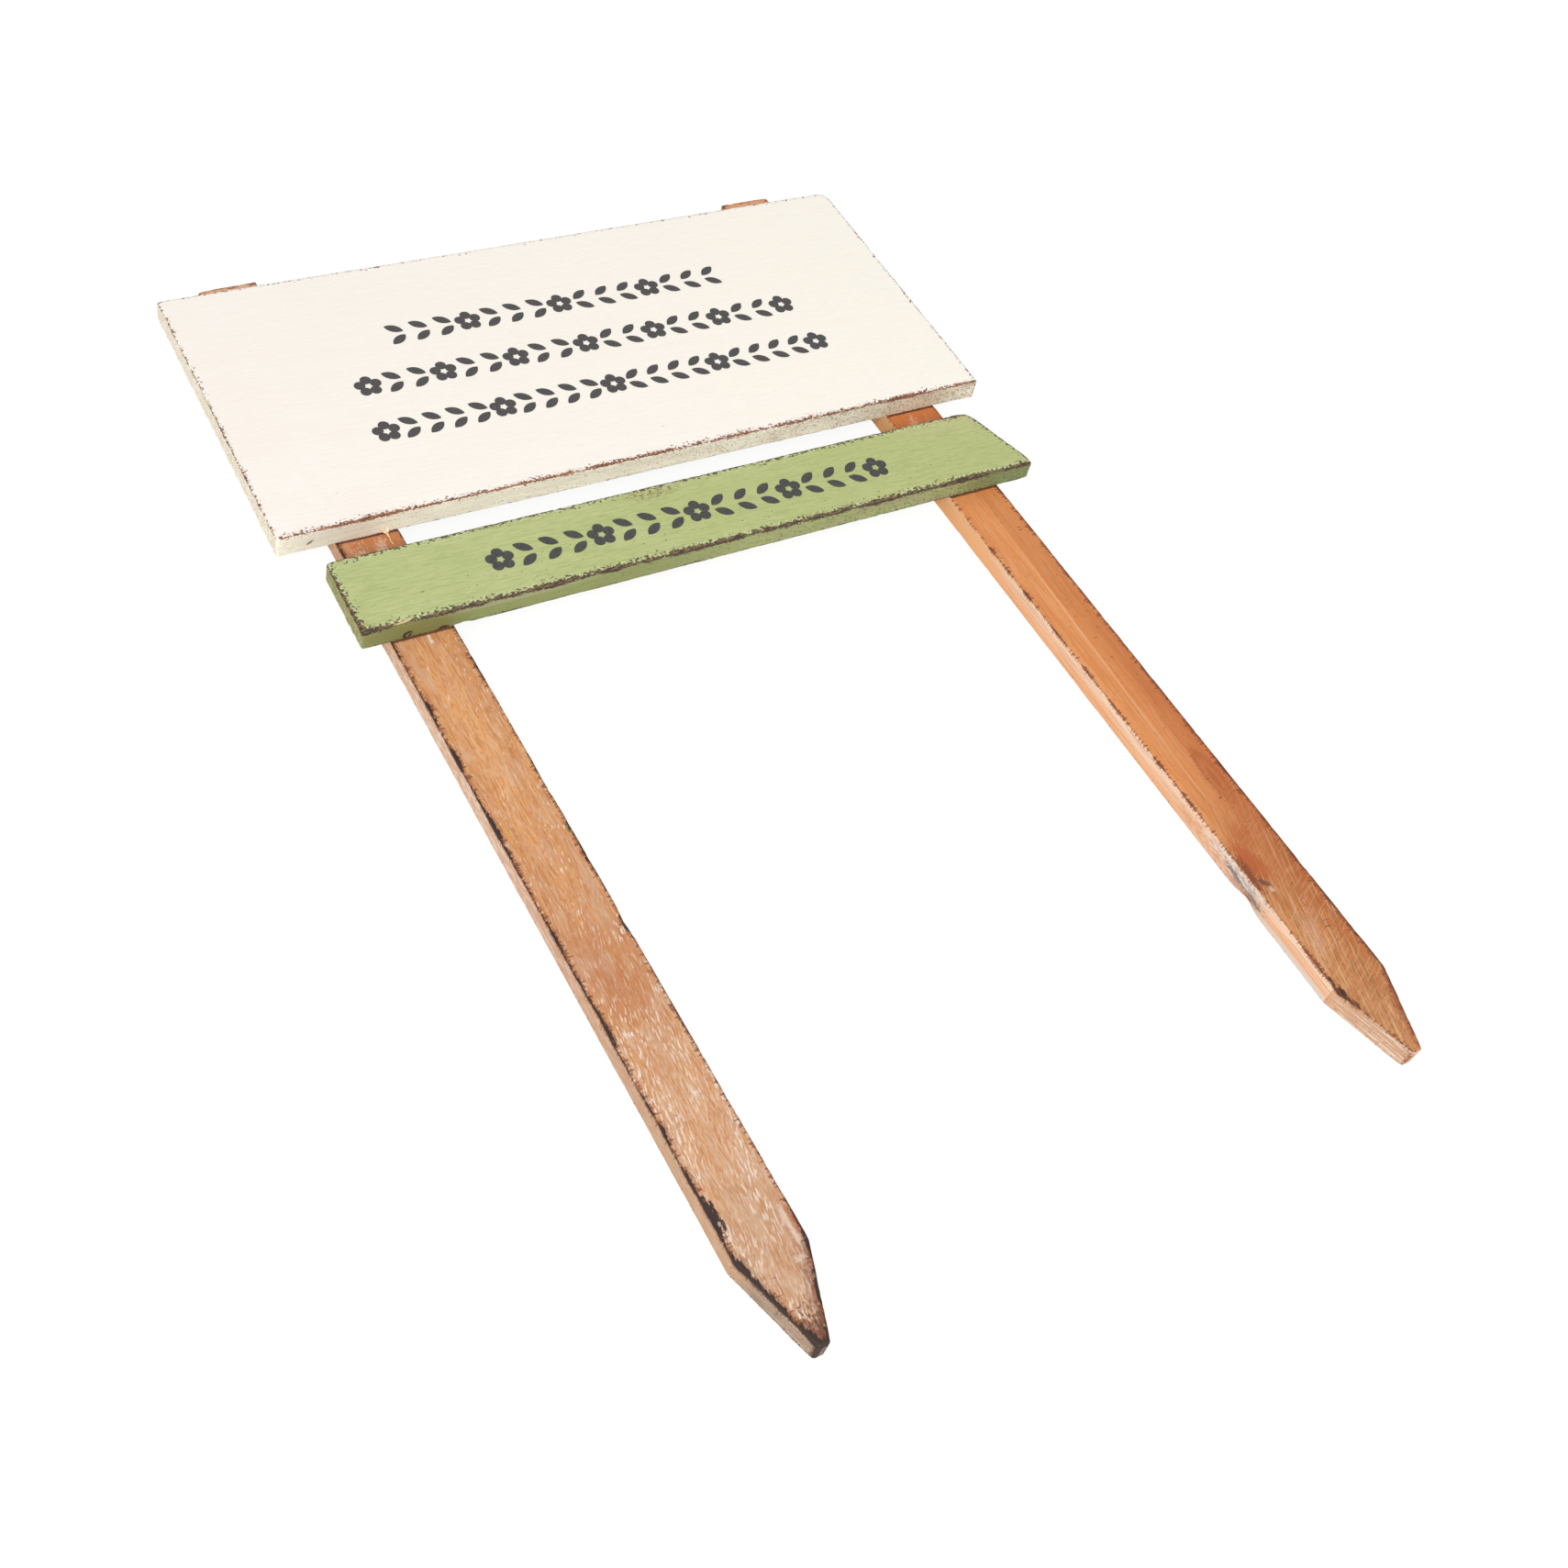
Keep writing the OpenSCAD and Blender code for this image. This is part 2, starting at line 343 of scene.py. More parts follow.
def board_shape():
    """The cream board: square edges rubbed soft, its left end left rough by the saw."""
    w, h, high = BOARD_W / 2, BOARD_H / 2, BOARD_HIGH[2]
    return sawn_board(
        BOARD_LOW, BOARD_HIGH, steps=(2.0, 1.6, 1.6), slant=0.0, wash_middle=0.45,
        fibres=((30, 1.7, 7), 5.0, 0.25, 0.75), back_spared=0.6, radius=0.55,
        relief=0.05, relief_size=(70, 2.4, 2.4), nibble=0.45,
        rubbed=[
            ((w, h, high), (5, 5, 12), 2.6), ((-w, -h, high), (4, 4, 6), 0.9),
            ((0, h, high), (400, 3, 5), 1.0),
        ],
        dents=[
            ((-175.2, -h, 16.4), (2.2, 3, 1.4), 0.4),
            ((-112.0, -h, high), (5, 2, 2), 0.35),
            ((62.0, -h, high), (6, 2, 2), 0.35),
        ],
        # Low, right, high and left edge
        wear=(1.0, 0.15, 0.3, 0.15),
        patches=[
            ((-151, -h, high), (7, 4, 4), 0.9), ((40, -h, high), (9, 4, 4), 0.5),
            ((150, -h, high), (12, 4, 4), 0.45), ((-w, -16, high), (4, 6, 4), 0.7),
            ((-w, 22, high), (4, 5, 4), 0.4), ((-w, -42, high), (4, 5, 4), 0.5),
            ((-w, -36, high), (4, 50, 4), 0.3),
        ],
    )


def slat_shape():
    """The green slat: its right end cut at a slant, its lower edge rubbed down to dark wood."""
    w, h, low, high = SLAT_W / 2, SLAT_H / 2, SLAT_LOW[2], SLAT_HIGH[2]
    return sawn_board(
        SLAT_LOW, SLAT_HIGH, steps=(1.7, 1.7, 1.6), slant=SLAT_SLANT, wash_middle=0.5,
        fibres=((30, 2.2, 5), 9.0, 0.1, 0.55), back_spared=0.5, radius=0.6,
        relief=0.05, relief_size=(55, 2.0, 2.0), nibble=0.6,
        rubbed=[
            ((w - SLAT_SLANT, h, high), (5, 5, 12), 2.2), ((w, -h, high), (4, 4, 12), 1.5),
            ((-w, -h, high), (4, 4, 4), 1.2), ((-w, h, high), (3, 3, 12), 1.0),
        ],
        dents=[
            ((-161, -h, high), (8, 2.2, 1.6), 0.7), ((-133.0, -h, low), (2.4, 2, 2), 0.8),
        ],
        wear=(1.35, 0.6, 0.6, 1.1),
        patches=[
            ((-w, -h, high), (7, 5, 4), 3.4), ((-60, -h, high), (30, 4, 4), 0.35),
            ((110, -h, high), (50, 4, 4), 0.5), ((w - SLAT_SLANT, h, high), (26, 8, 8), 0.9),
        ],
    )


def stake_shape(stake, **looks):
    """A stake sawn to a blunt point, in a frame whose y runs up it from the board's middle."""
    half, tip = STAKE_W / 2, stake["above"] - STAKE_L
    left_point, right_point = POINT_L + stake["skew"], POINT_L - stake["skew"]
    lines = [grid_lines(STAKE_W, 2.0), grid_lines(STAKE_L, 1.8), grid_lines(STAKE_T, 1.6)]
    points, quads, sides = block_surface(lines)
    across, up = points[:, 0].copy(), points[:, 1]
    left = -half + (half - TIP_W / 2) * np.clip(1 - up / left_point, 0, 1)
    right = half - (half - TIP_W / 2) * np.clip(1 - up / right_point, 0, 1)
    near = NEAR_EDGE[-1]
    middle = left + near + (across - near) * (right - left - 2 * near) / (STAKE_W - 2 * near)
    points[:, 0] = np.where(across < near, left + across, middle)
    points[:, 0] = np.where(across > STAKE_W - near, right - STAKE_W + across, points[:, 0])
    centre_up = up[quads].mean(axis=1)
    sides[(sides == LOW_X) & (centre_up < left_point)] = SLOPE
    sides[(sides == HIGH_X) & (centre_up < right_point)] = SLOPE
    points[:, 1] += tip
    corners = [
        (-TIP_W / 2, tip), (TIP_W / 2, tip), (half, tip + right_point),
        (half, stake["above"]), (-half, stake["above"]), (-half, tip + left_point),
    ]
    lean = math.radians(stake["lean"])
    place = Matrix.Translation((stake["side"] * (BOARD_W / 2 - STAKE_INSET), BOARD_Y, 0))
    slat_mid = (SLAT_Y - BOARD_Y) / math.cos(lean)
    return {
        "points": points, "quads": quads, "sides": sides, "depth": (0.0, STAKE_T),
        "planes": outline_planes(corners),
        "corners": [corners[0], corners[1], corners[3], corners[4]],
        "back_spared": 0.8, "relief_size": (2.2, 45, 2.2), "nibble": 0.5,
        "screws": [
            (0.0, middle_y + end * gap / 2)
            for middle_y, gap in ((0.0, BOARD_SCREW_GAP), (slat_mid, SLAT_SCREW_GAP))
            for end in (-1, 1)
        ],
        "grain": (1, 0), "place": np.array(place @ Matrix.Rotation(lean, 4, "Z")),
        **looks,
    }


def left_stake_shape():
    """The left stake: coarser, with broad dark bruises along its left front edge."""
    half, tip, top = STAKE_W / 2, LEFT_STAKE["above"] - STAKE_L, LEFT_STAKE["above"]
    # Middle along the stake, half length and strength, on the left edge and on the right one
    bruises = [
        (-185, 11, 1.6), (-217, 8, 1.3), (-256, 12, 1.5), (-316, 7, 1.5), (-351, 13, 2.2),
        (-401, 8, 2.4), (-427, 8, 1.4), (-441, 8, 5.0), (-462, 10, 1.2), (-478, 9, 2.4),
    ]
    far_bruises = [
        (-169, 9, 1.3), (-240, 12, 0.9), (-275, 14, 1.3), (-315, 6, 1.5), (-366, 9, 1.2),
        (-462, 9, 1.6), (-482, 12, 2.0),
    ]

    def side_x(y, side):
        """Where the stake's left or right edge is at y, the point's slope with it."""
        start = POINT_L - side * LEFT_STAKE["skew"]
        return side * (half - (half - TIP_W / 2) * max(0.0, 1 - (y - tip) / start))

    patches = [
        ((side_x(y, side), y, STAKE_T), (4, half_long, 5), extra)
        for side, listed in ((-1, bruises), (1, far_bruises)) for y, half_long, extra in listed
    ]
    patches += [
        ((1, tip, STAKE_T), (7, 9, 12), 4.0), ((half - 4, tip + 22, STAKE_T), (5, 16, 5), 0.7),
        ((half, top, STAKE_T), (3, 3, 8), 2.0),
    ]
    patches += [((side * half, -94, STAKE_T), (4, 14, 5), 1.0) for side in (-1, 1)]

    def deep(p):
        """How far the stain has sunk in, most at the right of the point, with painted shade in the
        gap above the slat, under the board.
        """
        # From -125 to -80 mm the 0.9 is painted shade between the slat and the board, not stain
        sunk = np.interp(
            p[:, 1], (-500, -370, -336, -300, -260, -200, -150, -125, -80, 90),
            (0.15, 0.2, 0.45, 0.32, 0.15, 0.1, 0.3, 0.9, 0.9, 0),
        )
        return sunk + around(p, [
            ((10, tip + 22, 12), (5, 17, 20), 0.9), ((3, tip + 3, 12), (6, 8, 20), 1.0),
            ((-3, -336, 12), (8, 24, 20), 0.5),
        ])

    return stake_shape(
        LEFT_STAKE, radius=0.6, relief=0.12,
        rubbed=[((-half, top, STAKE_T), (4, 5, 12), 1.0), ((0, tip, 6), (5, 4, 12), 0.8)],
        dents=[
            ((-half, -441, STAKE_T), (3, 7, 3), 0.9), ((-half, -351, STAKE_T), (3, 10, 3), 0.6),
            ((-half, -401, STAKE_T), (3, 6, 3), 0.6), ((-half, -185, STAKE_T), (3, 9, 3), 0.5),
            ((half, -315, STAKE_T), (3, 5, 3), 0.6), ((half, -240, STAKE_T), (3, 8, 3), 0.3),
        ],
        # Tip, right slope, right side, top, left side and left slope
        wear=(1.2, 0.9, 0.3, 0.3, 0.7, 1.25), patches=patches,
        wash=lambda p: np.clip((-240 - p[:, 1]) / 160, 0, 1), deep=deep,
    )


def right_stake_shape():
    """The right stake: smoother, with a knot low down that has broken out of its back edge."""
    half, tip, top = STAKE_W / 2, RIGHT_STAKE["above"] - STAKE_L, RIGHT_STAKE["above"]
    # Middle along the stake and half length, on the left edge and on the right one
    chips = [
        (-186, 5), (-201, 4), (-219, 5), (-244, 6), (-270, 5), (-295, 6), (-330, 5), (-352, 6),
        (-462, 5),
    ]
    bruises = [(-345, 14), (-376, 12), (-408, 16), (-440, 12)]
    patches = [
        ((side * half, y, STAKE_T), (3, half_long, 3), extra)
        for side, listed, extra in ((-1, chips, 1.8), (1, bruises, 0.9)) for y, half_long in listed
    ]
    patches += [
        ((-half, top, STAKE_T), (4, 3, 8), 2.0), ((-half, -447, STAKE_T), (3, 9, 3), 2.1),
        ((1 - half, -465, STAKE_T), (4, 6, 3), 2.6), ((12, -472, STAKE_T), (4, 9, 4), 1.0),
    ]

    def deep(p):
        """How far the stain has sunk in: most at the knot and to the right of it, plus painted
        shade in the gap between the slat and the board.
        """
        sunk = np.interp(
            p[:, 1], (-500, -465, -436, -407, -378, -349, -291, -262, -233, -160),
            (0.35, 0.45, 0.8, 1.0, 0.95, 0.75, 0.6, 0.35, 0.15, 0.1),
        ) * np.clip(0.55 + p[:, 0] / 20, 0, 1.1)
        # Painted shade on the stake in the gap between the slat and the board
        painted_shade_between_boards = np.interp(p[:, 1], (-160, -130, -80, 90), (0, 0.55, 0.55, 0))
        return sunk + painted_shade_between_boards + around(p, [
            ((-10, -395, 12), (6, 13, 20), 1.0), ((-3.5, -378, 12), (5, 8, 20), 0.6),
        ])

    return stake_shape(
        RIGHT_STAKE, radius=0.5, relief=0.07,
        rubbed=[((half, top, STAKE_T), (4, 4, 12), 0.8), ((0, tip, 6), (5, 4, 12), 0.7)],
        dents=[
            ((-half, -403, 0), (5, 5.5, 3.5), 2.0), ((-half, -398, 0), (4, 2.5, 3), 0.7),
            ((-half, -392, 4), (1.6, 6, 2.2), 0.35), ((-half, -270, STAKE_T), (2, 5, 2), 0.4),
        ],
        wear=(0.3, 1.2, 1.6, 0.5, -0.3, 0.25), patches=patches,
        wash=lambda p: np.clip((-338 - p[:, 1]) / 92, 0, 1), deep=deep,
    )


# Finishes
# Their patterns are sized in mm on the real wood. Brush hairs, fibres and pores are 0.05 to 0.3
# wide, too fine to show in the render, so they are drawn as coarse as it needs, 0.5 to 1.3 wide.

def srgb(code):
    """An sRGB hex colour as Blender's linear red, green, blue and alpha."""
    channels = [int(code[i:i + 2], 16) / 255 for i in (1, 3, 5)]
    return [c / 12.92 if c <= 0.04045 else ((c + 0.055) / 1.055) ** 2.4 for c in channels] + [1.0]


def add(tree, kind, inputs=(), **settings):
    """Adds a node with its settings, its sockets' values, and links from nodes or sockets."""
    node = tree.nodes.new("ShaderNode" + kind)
    for key, value in settings.items():
        setattr(node, key, value)
    for key, value in dict(inputs).items():
        if isinstance(value, bpy.types.Node):
            value = next(socket for socket in value.outputs if socket.enabled)
        if isinstance(value, bpy.types.NodeSocket):
            tree.links.new(value, node.inputs[key])
        else:
            node.inputs[key].default_value = value
    return node


def empty_finish(name):
    """A new material and its empty node tree."""
    material = bpy.data.materials.new(name)
    material.use_nodes = True
    material.node_tree.nodes.clear()
    return material, material.node_tree


def wood_finish(name):
    """A new material, its tree, the fields that the wood carries, and the place on the wood."""
    material, tree = empty_finish(name)
    fields = {
        field: add(tree, "Attribute", attribute_name=field).outputs["Fac"]
        for field in ("edge_mm", "wear", "wash", "deep")
    }
    fields["grain_mm"] = add(tree, "Attribute", attribute_name="grain_mm").outputs["Vector"]
    return material, tree, fields, fields["grain_mm"]


# How far Blender's noise spreads around its middle of 0.5
NOISE_SPREAD = 0.105


def drawn_out(tree, place, long, wide, shift=0.0, detail=2.0, turn=0.0):
    """Noise in marks long mm along the grain and wide mm across it, turned by turn degrees and
    moved along by shift."""
    if turn:
        place = add(tree, "VectorRotate", {"Vector": place, "Angle": math.radians(turn)},
                    rotation_type="Z_AXIS")
    scaled = add(tree, "VectorMath", {
        0: place, 1: (1 / long, 1 / wide, 1 / wide), 2: (shift, shift, shift),
    }, operation="MULTIPLY_ADD")
    return add(tree, "TexNoise", {"Vector": scaled, "Scale": 1.0, "Detail": detail})


def marks(tree, place, long, wide, share, blur=0.05, push=None, **pattern):
    """A mask of marks that cover about that share of the surface, more where push is above 0."""
    value = drawn_out(tree, place, long, wide, **pattern)
    if push is not None:
        value = add(tree, "Math", {0: value, 1: push}, operation="ADD")
    start = NormalDist(0.5, NOISE_SPREAD).inv_cdf(1 - share)
    return add(tree, "MapRange", {
        "Value": value, "From Min": start - blur, "From Max": start + blur,
    }, interpolation_type="SMOOTHSTEP")


def wander(tree, place, long, wide, low, high, part=0.25, **pattern):
    """A value that wanders between low and high in bumps of long by wide mm; the larger part
    is, the more often it reaches them."""
    return add(tree, "MapRange", {
        "Value": drawn_out(tree, place, long, wide, **pattern),
        "From Min": part, "From Max": 1 - part, "To Min": low, "To Max": high,
    })


def wavy(tree, place, sway, length):
    """The place on the wood, swayed across the grain by up to sway mm in waves of length mm."""
    waves = wander(tree, place, length, length / 2, -sway, sway, shift=40.0, detail=1.0)
    across = add(tree, "CombineXYZ", {"Y": waves})
    return add(tree, "VectorMath", {0: place, 1: across}, operation="ADD")


def spot(tree, place, middle, half, turn=0.0, ragged=0.0, soft=0.2, axis="Z_AXIS"):
    """A mask for one mark: middle and half size in mm along, across and in depth, turned by turn
    degrees; its border wanders by the share ragged and fades over the share soft."""
    away = add(tree, "VectorMath", {0: place, 1: middle}, operation="SUBTRACT")
    if turn:
        away = add(tree, "VectorRotate", {"Vector": away, "Angle": math.radians(turn)},
                   rotation_type=axis)
    scaled = add(tree, "VectorMath", {0: away, 1: [1 / size for size in half]},
                 operation="MULTIPLY")
    far = add(tree, "VectorMath", {0: scaled}, operation="LENGTH")
    if ragged:
        border = wander(tree, place, 1.8, 0.9, -ragged, ragged)
        far = add(tree, "Math", {0: far, 1: border}, operation="ADD")
    return add(tree, "MapRange", {
        "Value": far, "From Min": 1 + soft, "From Max": 1 - soft,
    }, interpolation_type="SMOOTHSTEP")


def rubbed_edge(tree, fields, reach, grit, shift=0.0, soft=0.15, drawn=1.4):
    """A mask for where sanding has gone through, up to reach mm in, with a border of grit mm
    bites that are drawn times as long along the grain."""
    place = fields["grain_mm"]
    uneven = wander(tree, place, 13, 13, 0.2 * reach, 1.6 * reach, part=0.3, shift=shift)
    bites = wander(tree, place, drawn * grit, grit, -1.5 * reach, 1.5 * reach, shift=shift + 4,
                   detail=3.0)
    border = add(tree, "Math", {0: uneven, 1: fields["wear"], 2: bites}, operation="MULTIPLY_ADD")
    inside = add(tree, "Math", {0: border, 1: fields["edge_mm"]}, operation="SUBTRACT")
    return add(tree, "MapRange", {
        "Value": inside, "From Min": -soft, "From Max": soft,
    }, interpolation_type="SMOOTHSTEP")


def near_edges(tree, fields, reach, long, wide, share, **pattern):
    """A mask of marks of long by wide mm near the worn edges, hardly any past reach mm."""
    fade = add(tree, "MapRange", {
        "Value": fields["edge_mm"], "From Max": reach, "To Min": 0.14, "To Max": -0.25,
    })
    worn = add(tree, "MapRange", {
        "Value": fields["wear"], "From Max": 1.5, "To Min": -0.08, "To Max": 0.07,
    })
    push = add(tree, "Math", {0: fade, 1: worn}, operation="ADD")
    return marks(tree, fields["grain_mm"], long, wide, share, blur=0.03, push=push, detail=1.0,
                 **pattern)


def coats(tree, base, layers):
    """The base colour with coats over it in turn: (mask, any shares of its strength, colour)."""
    colour = srgb(base)
    for mask, *shares, coat in layers:
        for share in shares:
            mask = add(tree, "Math", {0: mask, 1: share}, operation="MULTIPLY")
        coat = srgb(coat) if isinstance(coat, str) else coat
        colour = add(tree, "Mix", {0: mask, 6: colour, 7: coat}, data_type="RGBA")
    return colour


def single_marks(tree, place, listed):
    """The coats for marks in one place each: (colour, strength, then what spot() takes)."""
    return [(spot(tree, place, *where), strength, colour) for colour, strength, *where in listed]


def surface(material, tree, colour, height, roughness, relief_mm, **sockets):
    """Ends a finish: colour, roughness and relief on one shader. Returns the material."""
    bump = add(tree, "Bump", {"Height": height, "Distance": relief_mm * MM})
    values = {"Base Color": colour, "Roughness": roughness, "Normal": bump, "IOR": 1.5}
    shader = add(tree, "BsdfPrincipled", {**values, **sockets})
    add(tree, "OutputMaterial", {"Surface": shader})
    return material


def brushed_chalk_paint(name, tone, pale, far_tone, streak, under, bare, border, fleck, reach,
                        streaks, specks, listed=(), scuffs=()):
    """Chalk paint brushed on pine and sanded back: a flat, even tone with faint lengthwise
    brush lines, and rubbed edges with a gritty border where dark wood shows."""
    material, tree, fields, place = wood_finish(name)
    clouds = marks(tree, place, 50, 16, 0.5, blur=0.2)
    strokes = marks(tree, place, 12, 0.6, 0.3, blur=0.09, shift=2.0, detail=3.0, turn=2.0)
    crossed = marks(tree, place, 9, 0.5, 0.2, blur=0.06, shift=9.0, turn=-3.0)
    dashes = marks(tree, place, 4.5, 1.0, 0.25, blur=0.06, shift=33.0)
    smoky = rubbed_edge(tree, fields, 1.7 * reach, grit=1.3, shift=3.0, soft=0.7)
    rubbed = rubbed_edge(tree, fields, reach, grit=0.7)
    dots = near_edges(tree, fields, 5.0, 1.6, 1.3, specks, shift=5.0)
    flecks = near_edges(tree, fields, 5.0, 1.6, 1.2, specks, shift=25.0)
    thin = marks(tree, place, 4, 0.9, 0.4, blur=0.06, shift=13.0)
    worn_bits = marks(tree, place, 2.6, 0.7, 0.3, blur=0.04, shift=17.0)
    colour = coats(tree, tone, [
        (clouds, pale), (fields["wash"], 0.9, far_tone), (strokes, streaks, streak),
        (crossed, streaks, streak), (dashes, 0.6 * streaks, streak), (smoky, 0.4, border),
        (flecks, 0.7, fleck), (dots, 0.85, under),
        *[(spot(tree, place, *where), worn_bits, scuff) for scuff, *where in scuffs],
        *single_marks(tree, place, listed),
        (rubbed, coats(tree, under, [(thin, bare)])),
    ])
    lines = drawn_out(tree, place, 20, 0.7, shift=2.0, detail=3.0)
    height = add(tree, "Math", {0: lines, 1: rubbed}, operation="SUBTRACT")
    return surface(material, tree, colour, height, roughness=0.72, relief_mm=0.12)


def painted_saw_cut(name, tone, streak, far_tone, speck, under, reach, specks, listed=()):
    """The same paint where a saw has left the wood open: thinner and duller, with pores and
    grit showing, more of them to the right."""
    material, tree, fields, place = wood_finish(name)
    strokes = marks(tree, place, 12, 1.0, 0.45, blur=0.12, shift=1.0, detail=3.0)
    dulled = marks(tree, place, 30, 6, 0.5, blur=0.15, shift=11.0)
    more = add(tree, "MapRange", {"Value": fields["wash"], "To Min": -0.1, "To Max": 0.06})
    pores = marks(tree, place, 1.4, 0.7, specks, blur=0.04, push=more, shift=6.0)
    rubbed = rubbed_edge(tree, fields, reach, grit=0.7)
    dots = near_edges(tree, fields, 3.0, 1.5, 1.2, 0.12, shift=5.0)
    colour = coats(tree, tone, [
        (strokes, streak), (dulled, fields["wash"], far_tone), (pores, 0.75, speck),
        (dots, 0.8, under), *single_marks(tree, place, listed), (rubbed, under),
    ])
    lines = drawn_out(tree, place, 9, 0.7, shift=3.0, detail=3.0)
    height = add(tree, "Math", {0: lines, 1: pores}, operation="SUBTRACT")
    return surface(material, tree, colour, height, roughness=0.8, relief_mm=0.25)


def open_end_grain(name, tone, pale, fibre, under):
    """Pine sawn across its fibres and only washed over with paint: pale, with short rough
    fibres that slant over the cut."""
    material, tree, fields, place = wood_finish(name)
    bands = marks(tree, place, 40, 3.0, 0.5, blur=0.1, shift=1.0)
    fibres = marks(tree, place, 30, 0.8, 0.35, blur=0.07, shift=4.0, detail=3.0)
    rubbed = rubbed_edge(tree, fields, 0.6, grit=0.8)
    dots = near_edges(tree, fields, 2.0, 1.6, 1.6, 0.12, shift=5.0)
    colour = coats(tree, tone, [
        (bands, pale), (fibres, 0.85, fibre), (dots, 0.8, under), (rubbed, under),
    ])
    height = drawn_out(tree, place, 30, 0.8, shift=4.0, detail=4.0)
    return surface(material, tree, colour, height, roughness=0.85, relief_mm=0.5)


def worn_dark(tree, fields, reach, grit, burnt, dark):
    """The coats for a stake's edges: brown torn fibres, a soft brown border, and dark wear."""
    fibres = near_edges(tree, fields, 3.8, 1.0, 5.0, 0.3, shift=14.0)
    border = rubbed_edge(tree, fields, 1.9 * reach, 1.4 * grit, shift=2.0, soft=0.8, drawn=2.2)
    core = rubbed_edge(tree, fields, reach, grit, shift=2.0, drawn=3.2)
    return [(fibres, 0.8, burnt), (border, 0.5, burnt), (core, dark)]


def painted_contact_shadows(tree, place, lean):
    """Painted contact shadow: dark lines on a stake, just under the board's and the slat's lower
    edges where they lie on it.
    """
    longer = 1 / math.cos(math.radians(lean))
    return single_marks(tree, place, [
        ("#4a2c20", 0.85, ((low[1] - BOARD_Y) * longer - 0.2, 0, STAKE_T), (0.75, 60, 6),
         -lean, 0.3, 0.5)
        for low in (BOARD_LOW, SLAT_LOW)
    ])


def tan_pine_front():
    """Pine with a tan oil stain over rubbed whitewash: wavy lengthwise lines, pale flecks that
    thicken to the point, and edges bruised to black-brown."""
    material, tree, fields, place = wood_finish("pine, tan oil stain rubbed over whitewash")
    bent = wavy(tree, place, 1.0, 26)
    broad = marks(tree, bent, 60, 8, 0.45, blur=0.14, shift=3.0)
    pinkish = marks(tree, bent, 14, 4, 0.35, blur=0.09, shift=12.0)
    dark_lines = marks(tree, bent, 12, 1.0, 0.28, shift=8.0, detail=3.0)
    pale_lines = marks(tree, bent, 9, 0.9, 0.22, shift=18.0, detail=3.0)
    short_lines = marks(tree, bent, 3.6, 1.0, 0.25, shift=58.0)
    clusters = add(tree, "MapRange", {
        "Value": marks(tree, bent, 26, 8, 0.45, blur=0.12, shift=71.0),
        "To Min": 0.22, "To Max": 0.8,
    })
    washed = add(tree, "MapRange", {"Value": fields["wash"], "To Min": -0.13, "To Max": 0.0})
    flecks = marks(tree, bent, 4.2, 0.8, 0.28, push=washed, shift=21.0, turn=-9.0, detail=1.0)
    veil = marks(tree, bent, 20, 6, 0.45, blur=0.13, push=washed, shift=27.0)
    colour = coats(tree, "#e6a86b", [
        (broad, 0.7, "#cb8e57"), (pinkish, 0.5, "#d6a07c"), (fields["wash"], 0.6, "#c89b76"),
        (dark_lines, 0.48, "#b36d3b"), (short_lines, 0.5, "#bd7a4a"),
        # deep darkens where the stain has sunk in, and paints shade in the gap between the slat and
        # the board
        (pale_lines, 0.42, "#ecc8a4"), (fields["deep"], 0.8, "#b4693a"),
        *single_marks(tree, place, [
            ("#7e4a34", 0.8, (-480, 9, 12), (22, 4.6, 9), -18, 0.7, 0.5),
            ("#ecc6aa", 0.6, (93, 2, 12), (6, 16, 9), 0, 0, 0.5),
            ("#a98a72", 0.3, (-468, 0, 12), (36, 20, 9), 0, 0, 0.5),
        ]),
        (veil, 0.3, "#d9bda3"), (flecks, clusters, "#efdfd0"),
        *single_marks(tree, place, [
            ("#6f7a3e", 0.75, (-265, 13.8, 12), (3.2, 0.9, 3), 0, 0.6),
            ("#f3e4d8", 0.7, (-151, 2, 12), (3.4, 0.6, 3), 0, 0.9),
            ("#f0d3bd", 0.45, (-99, -8, 12), (8, 2.6, 3), -14, 0.9, 0.5),
            ("#f0d3bd", 0.45, (-95, 3, 12), (7, 2.2, 3), -14, 0.9, 0.5),
            ("#a8582f", 0.55, (-456, 13.6, 12), (8, 1.8, 3), 0, 0.7, 0.5),
            ("#ead8cb", 0.5, (-453, 10.6, 12), (5.5, 1.2, 3), 0, 0.9, 0.5),
            ("#ead8cb", 0.5, (-461, 11.2, 12), (3.6, 1.2, 3), 0, 0.9, 0.5),
            ("#ead8cb", 0.5, (-468.3, 8.3, 12), (1.2, 2.6, 3), 0, 0.9, 0.5),
            ("#5d382b", 0.85, (-499, 1, 12), (10, 7, 9), 0, 0.9, 0.5),
        ]),
        *worn_dark(tree, fields, 0.75, 0.7, "#84492b", "#38251f"),
        *single_marks(tree, place, [
            ("#38251f", 1.0, (-440.3, -14.3, 12), (8.4, 3.3, 3), 0, 0.4, 0.12),
            ("#38251f", 0.9, (-445.4, -11.3, 12), (1.9, 1.1, 3), 0, 0.7),
            ("#b9a595", 0.8, (-444.3, -12.3, 12), (1.0, 0.6, 3), 0, 0.5),
        ]),
        # Painted contact shadow under the board's and the slat's lower edges
        *painted_contact_shadows(tree, place, LEFT_STAKE["lean"]),
    ])
    ridges = drawn_out(tree, bent, 14, 0.7, shift=8.0, detail=3.0)
    return surface(material, tree, colour, ridges, roughness=0.65, relief_mm=0.3)


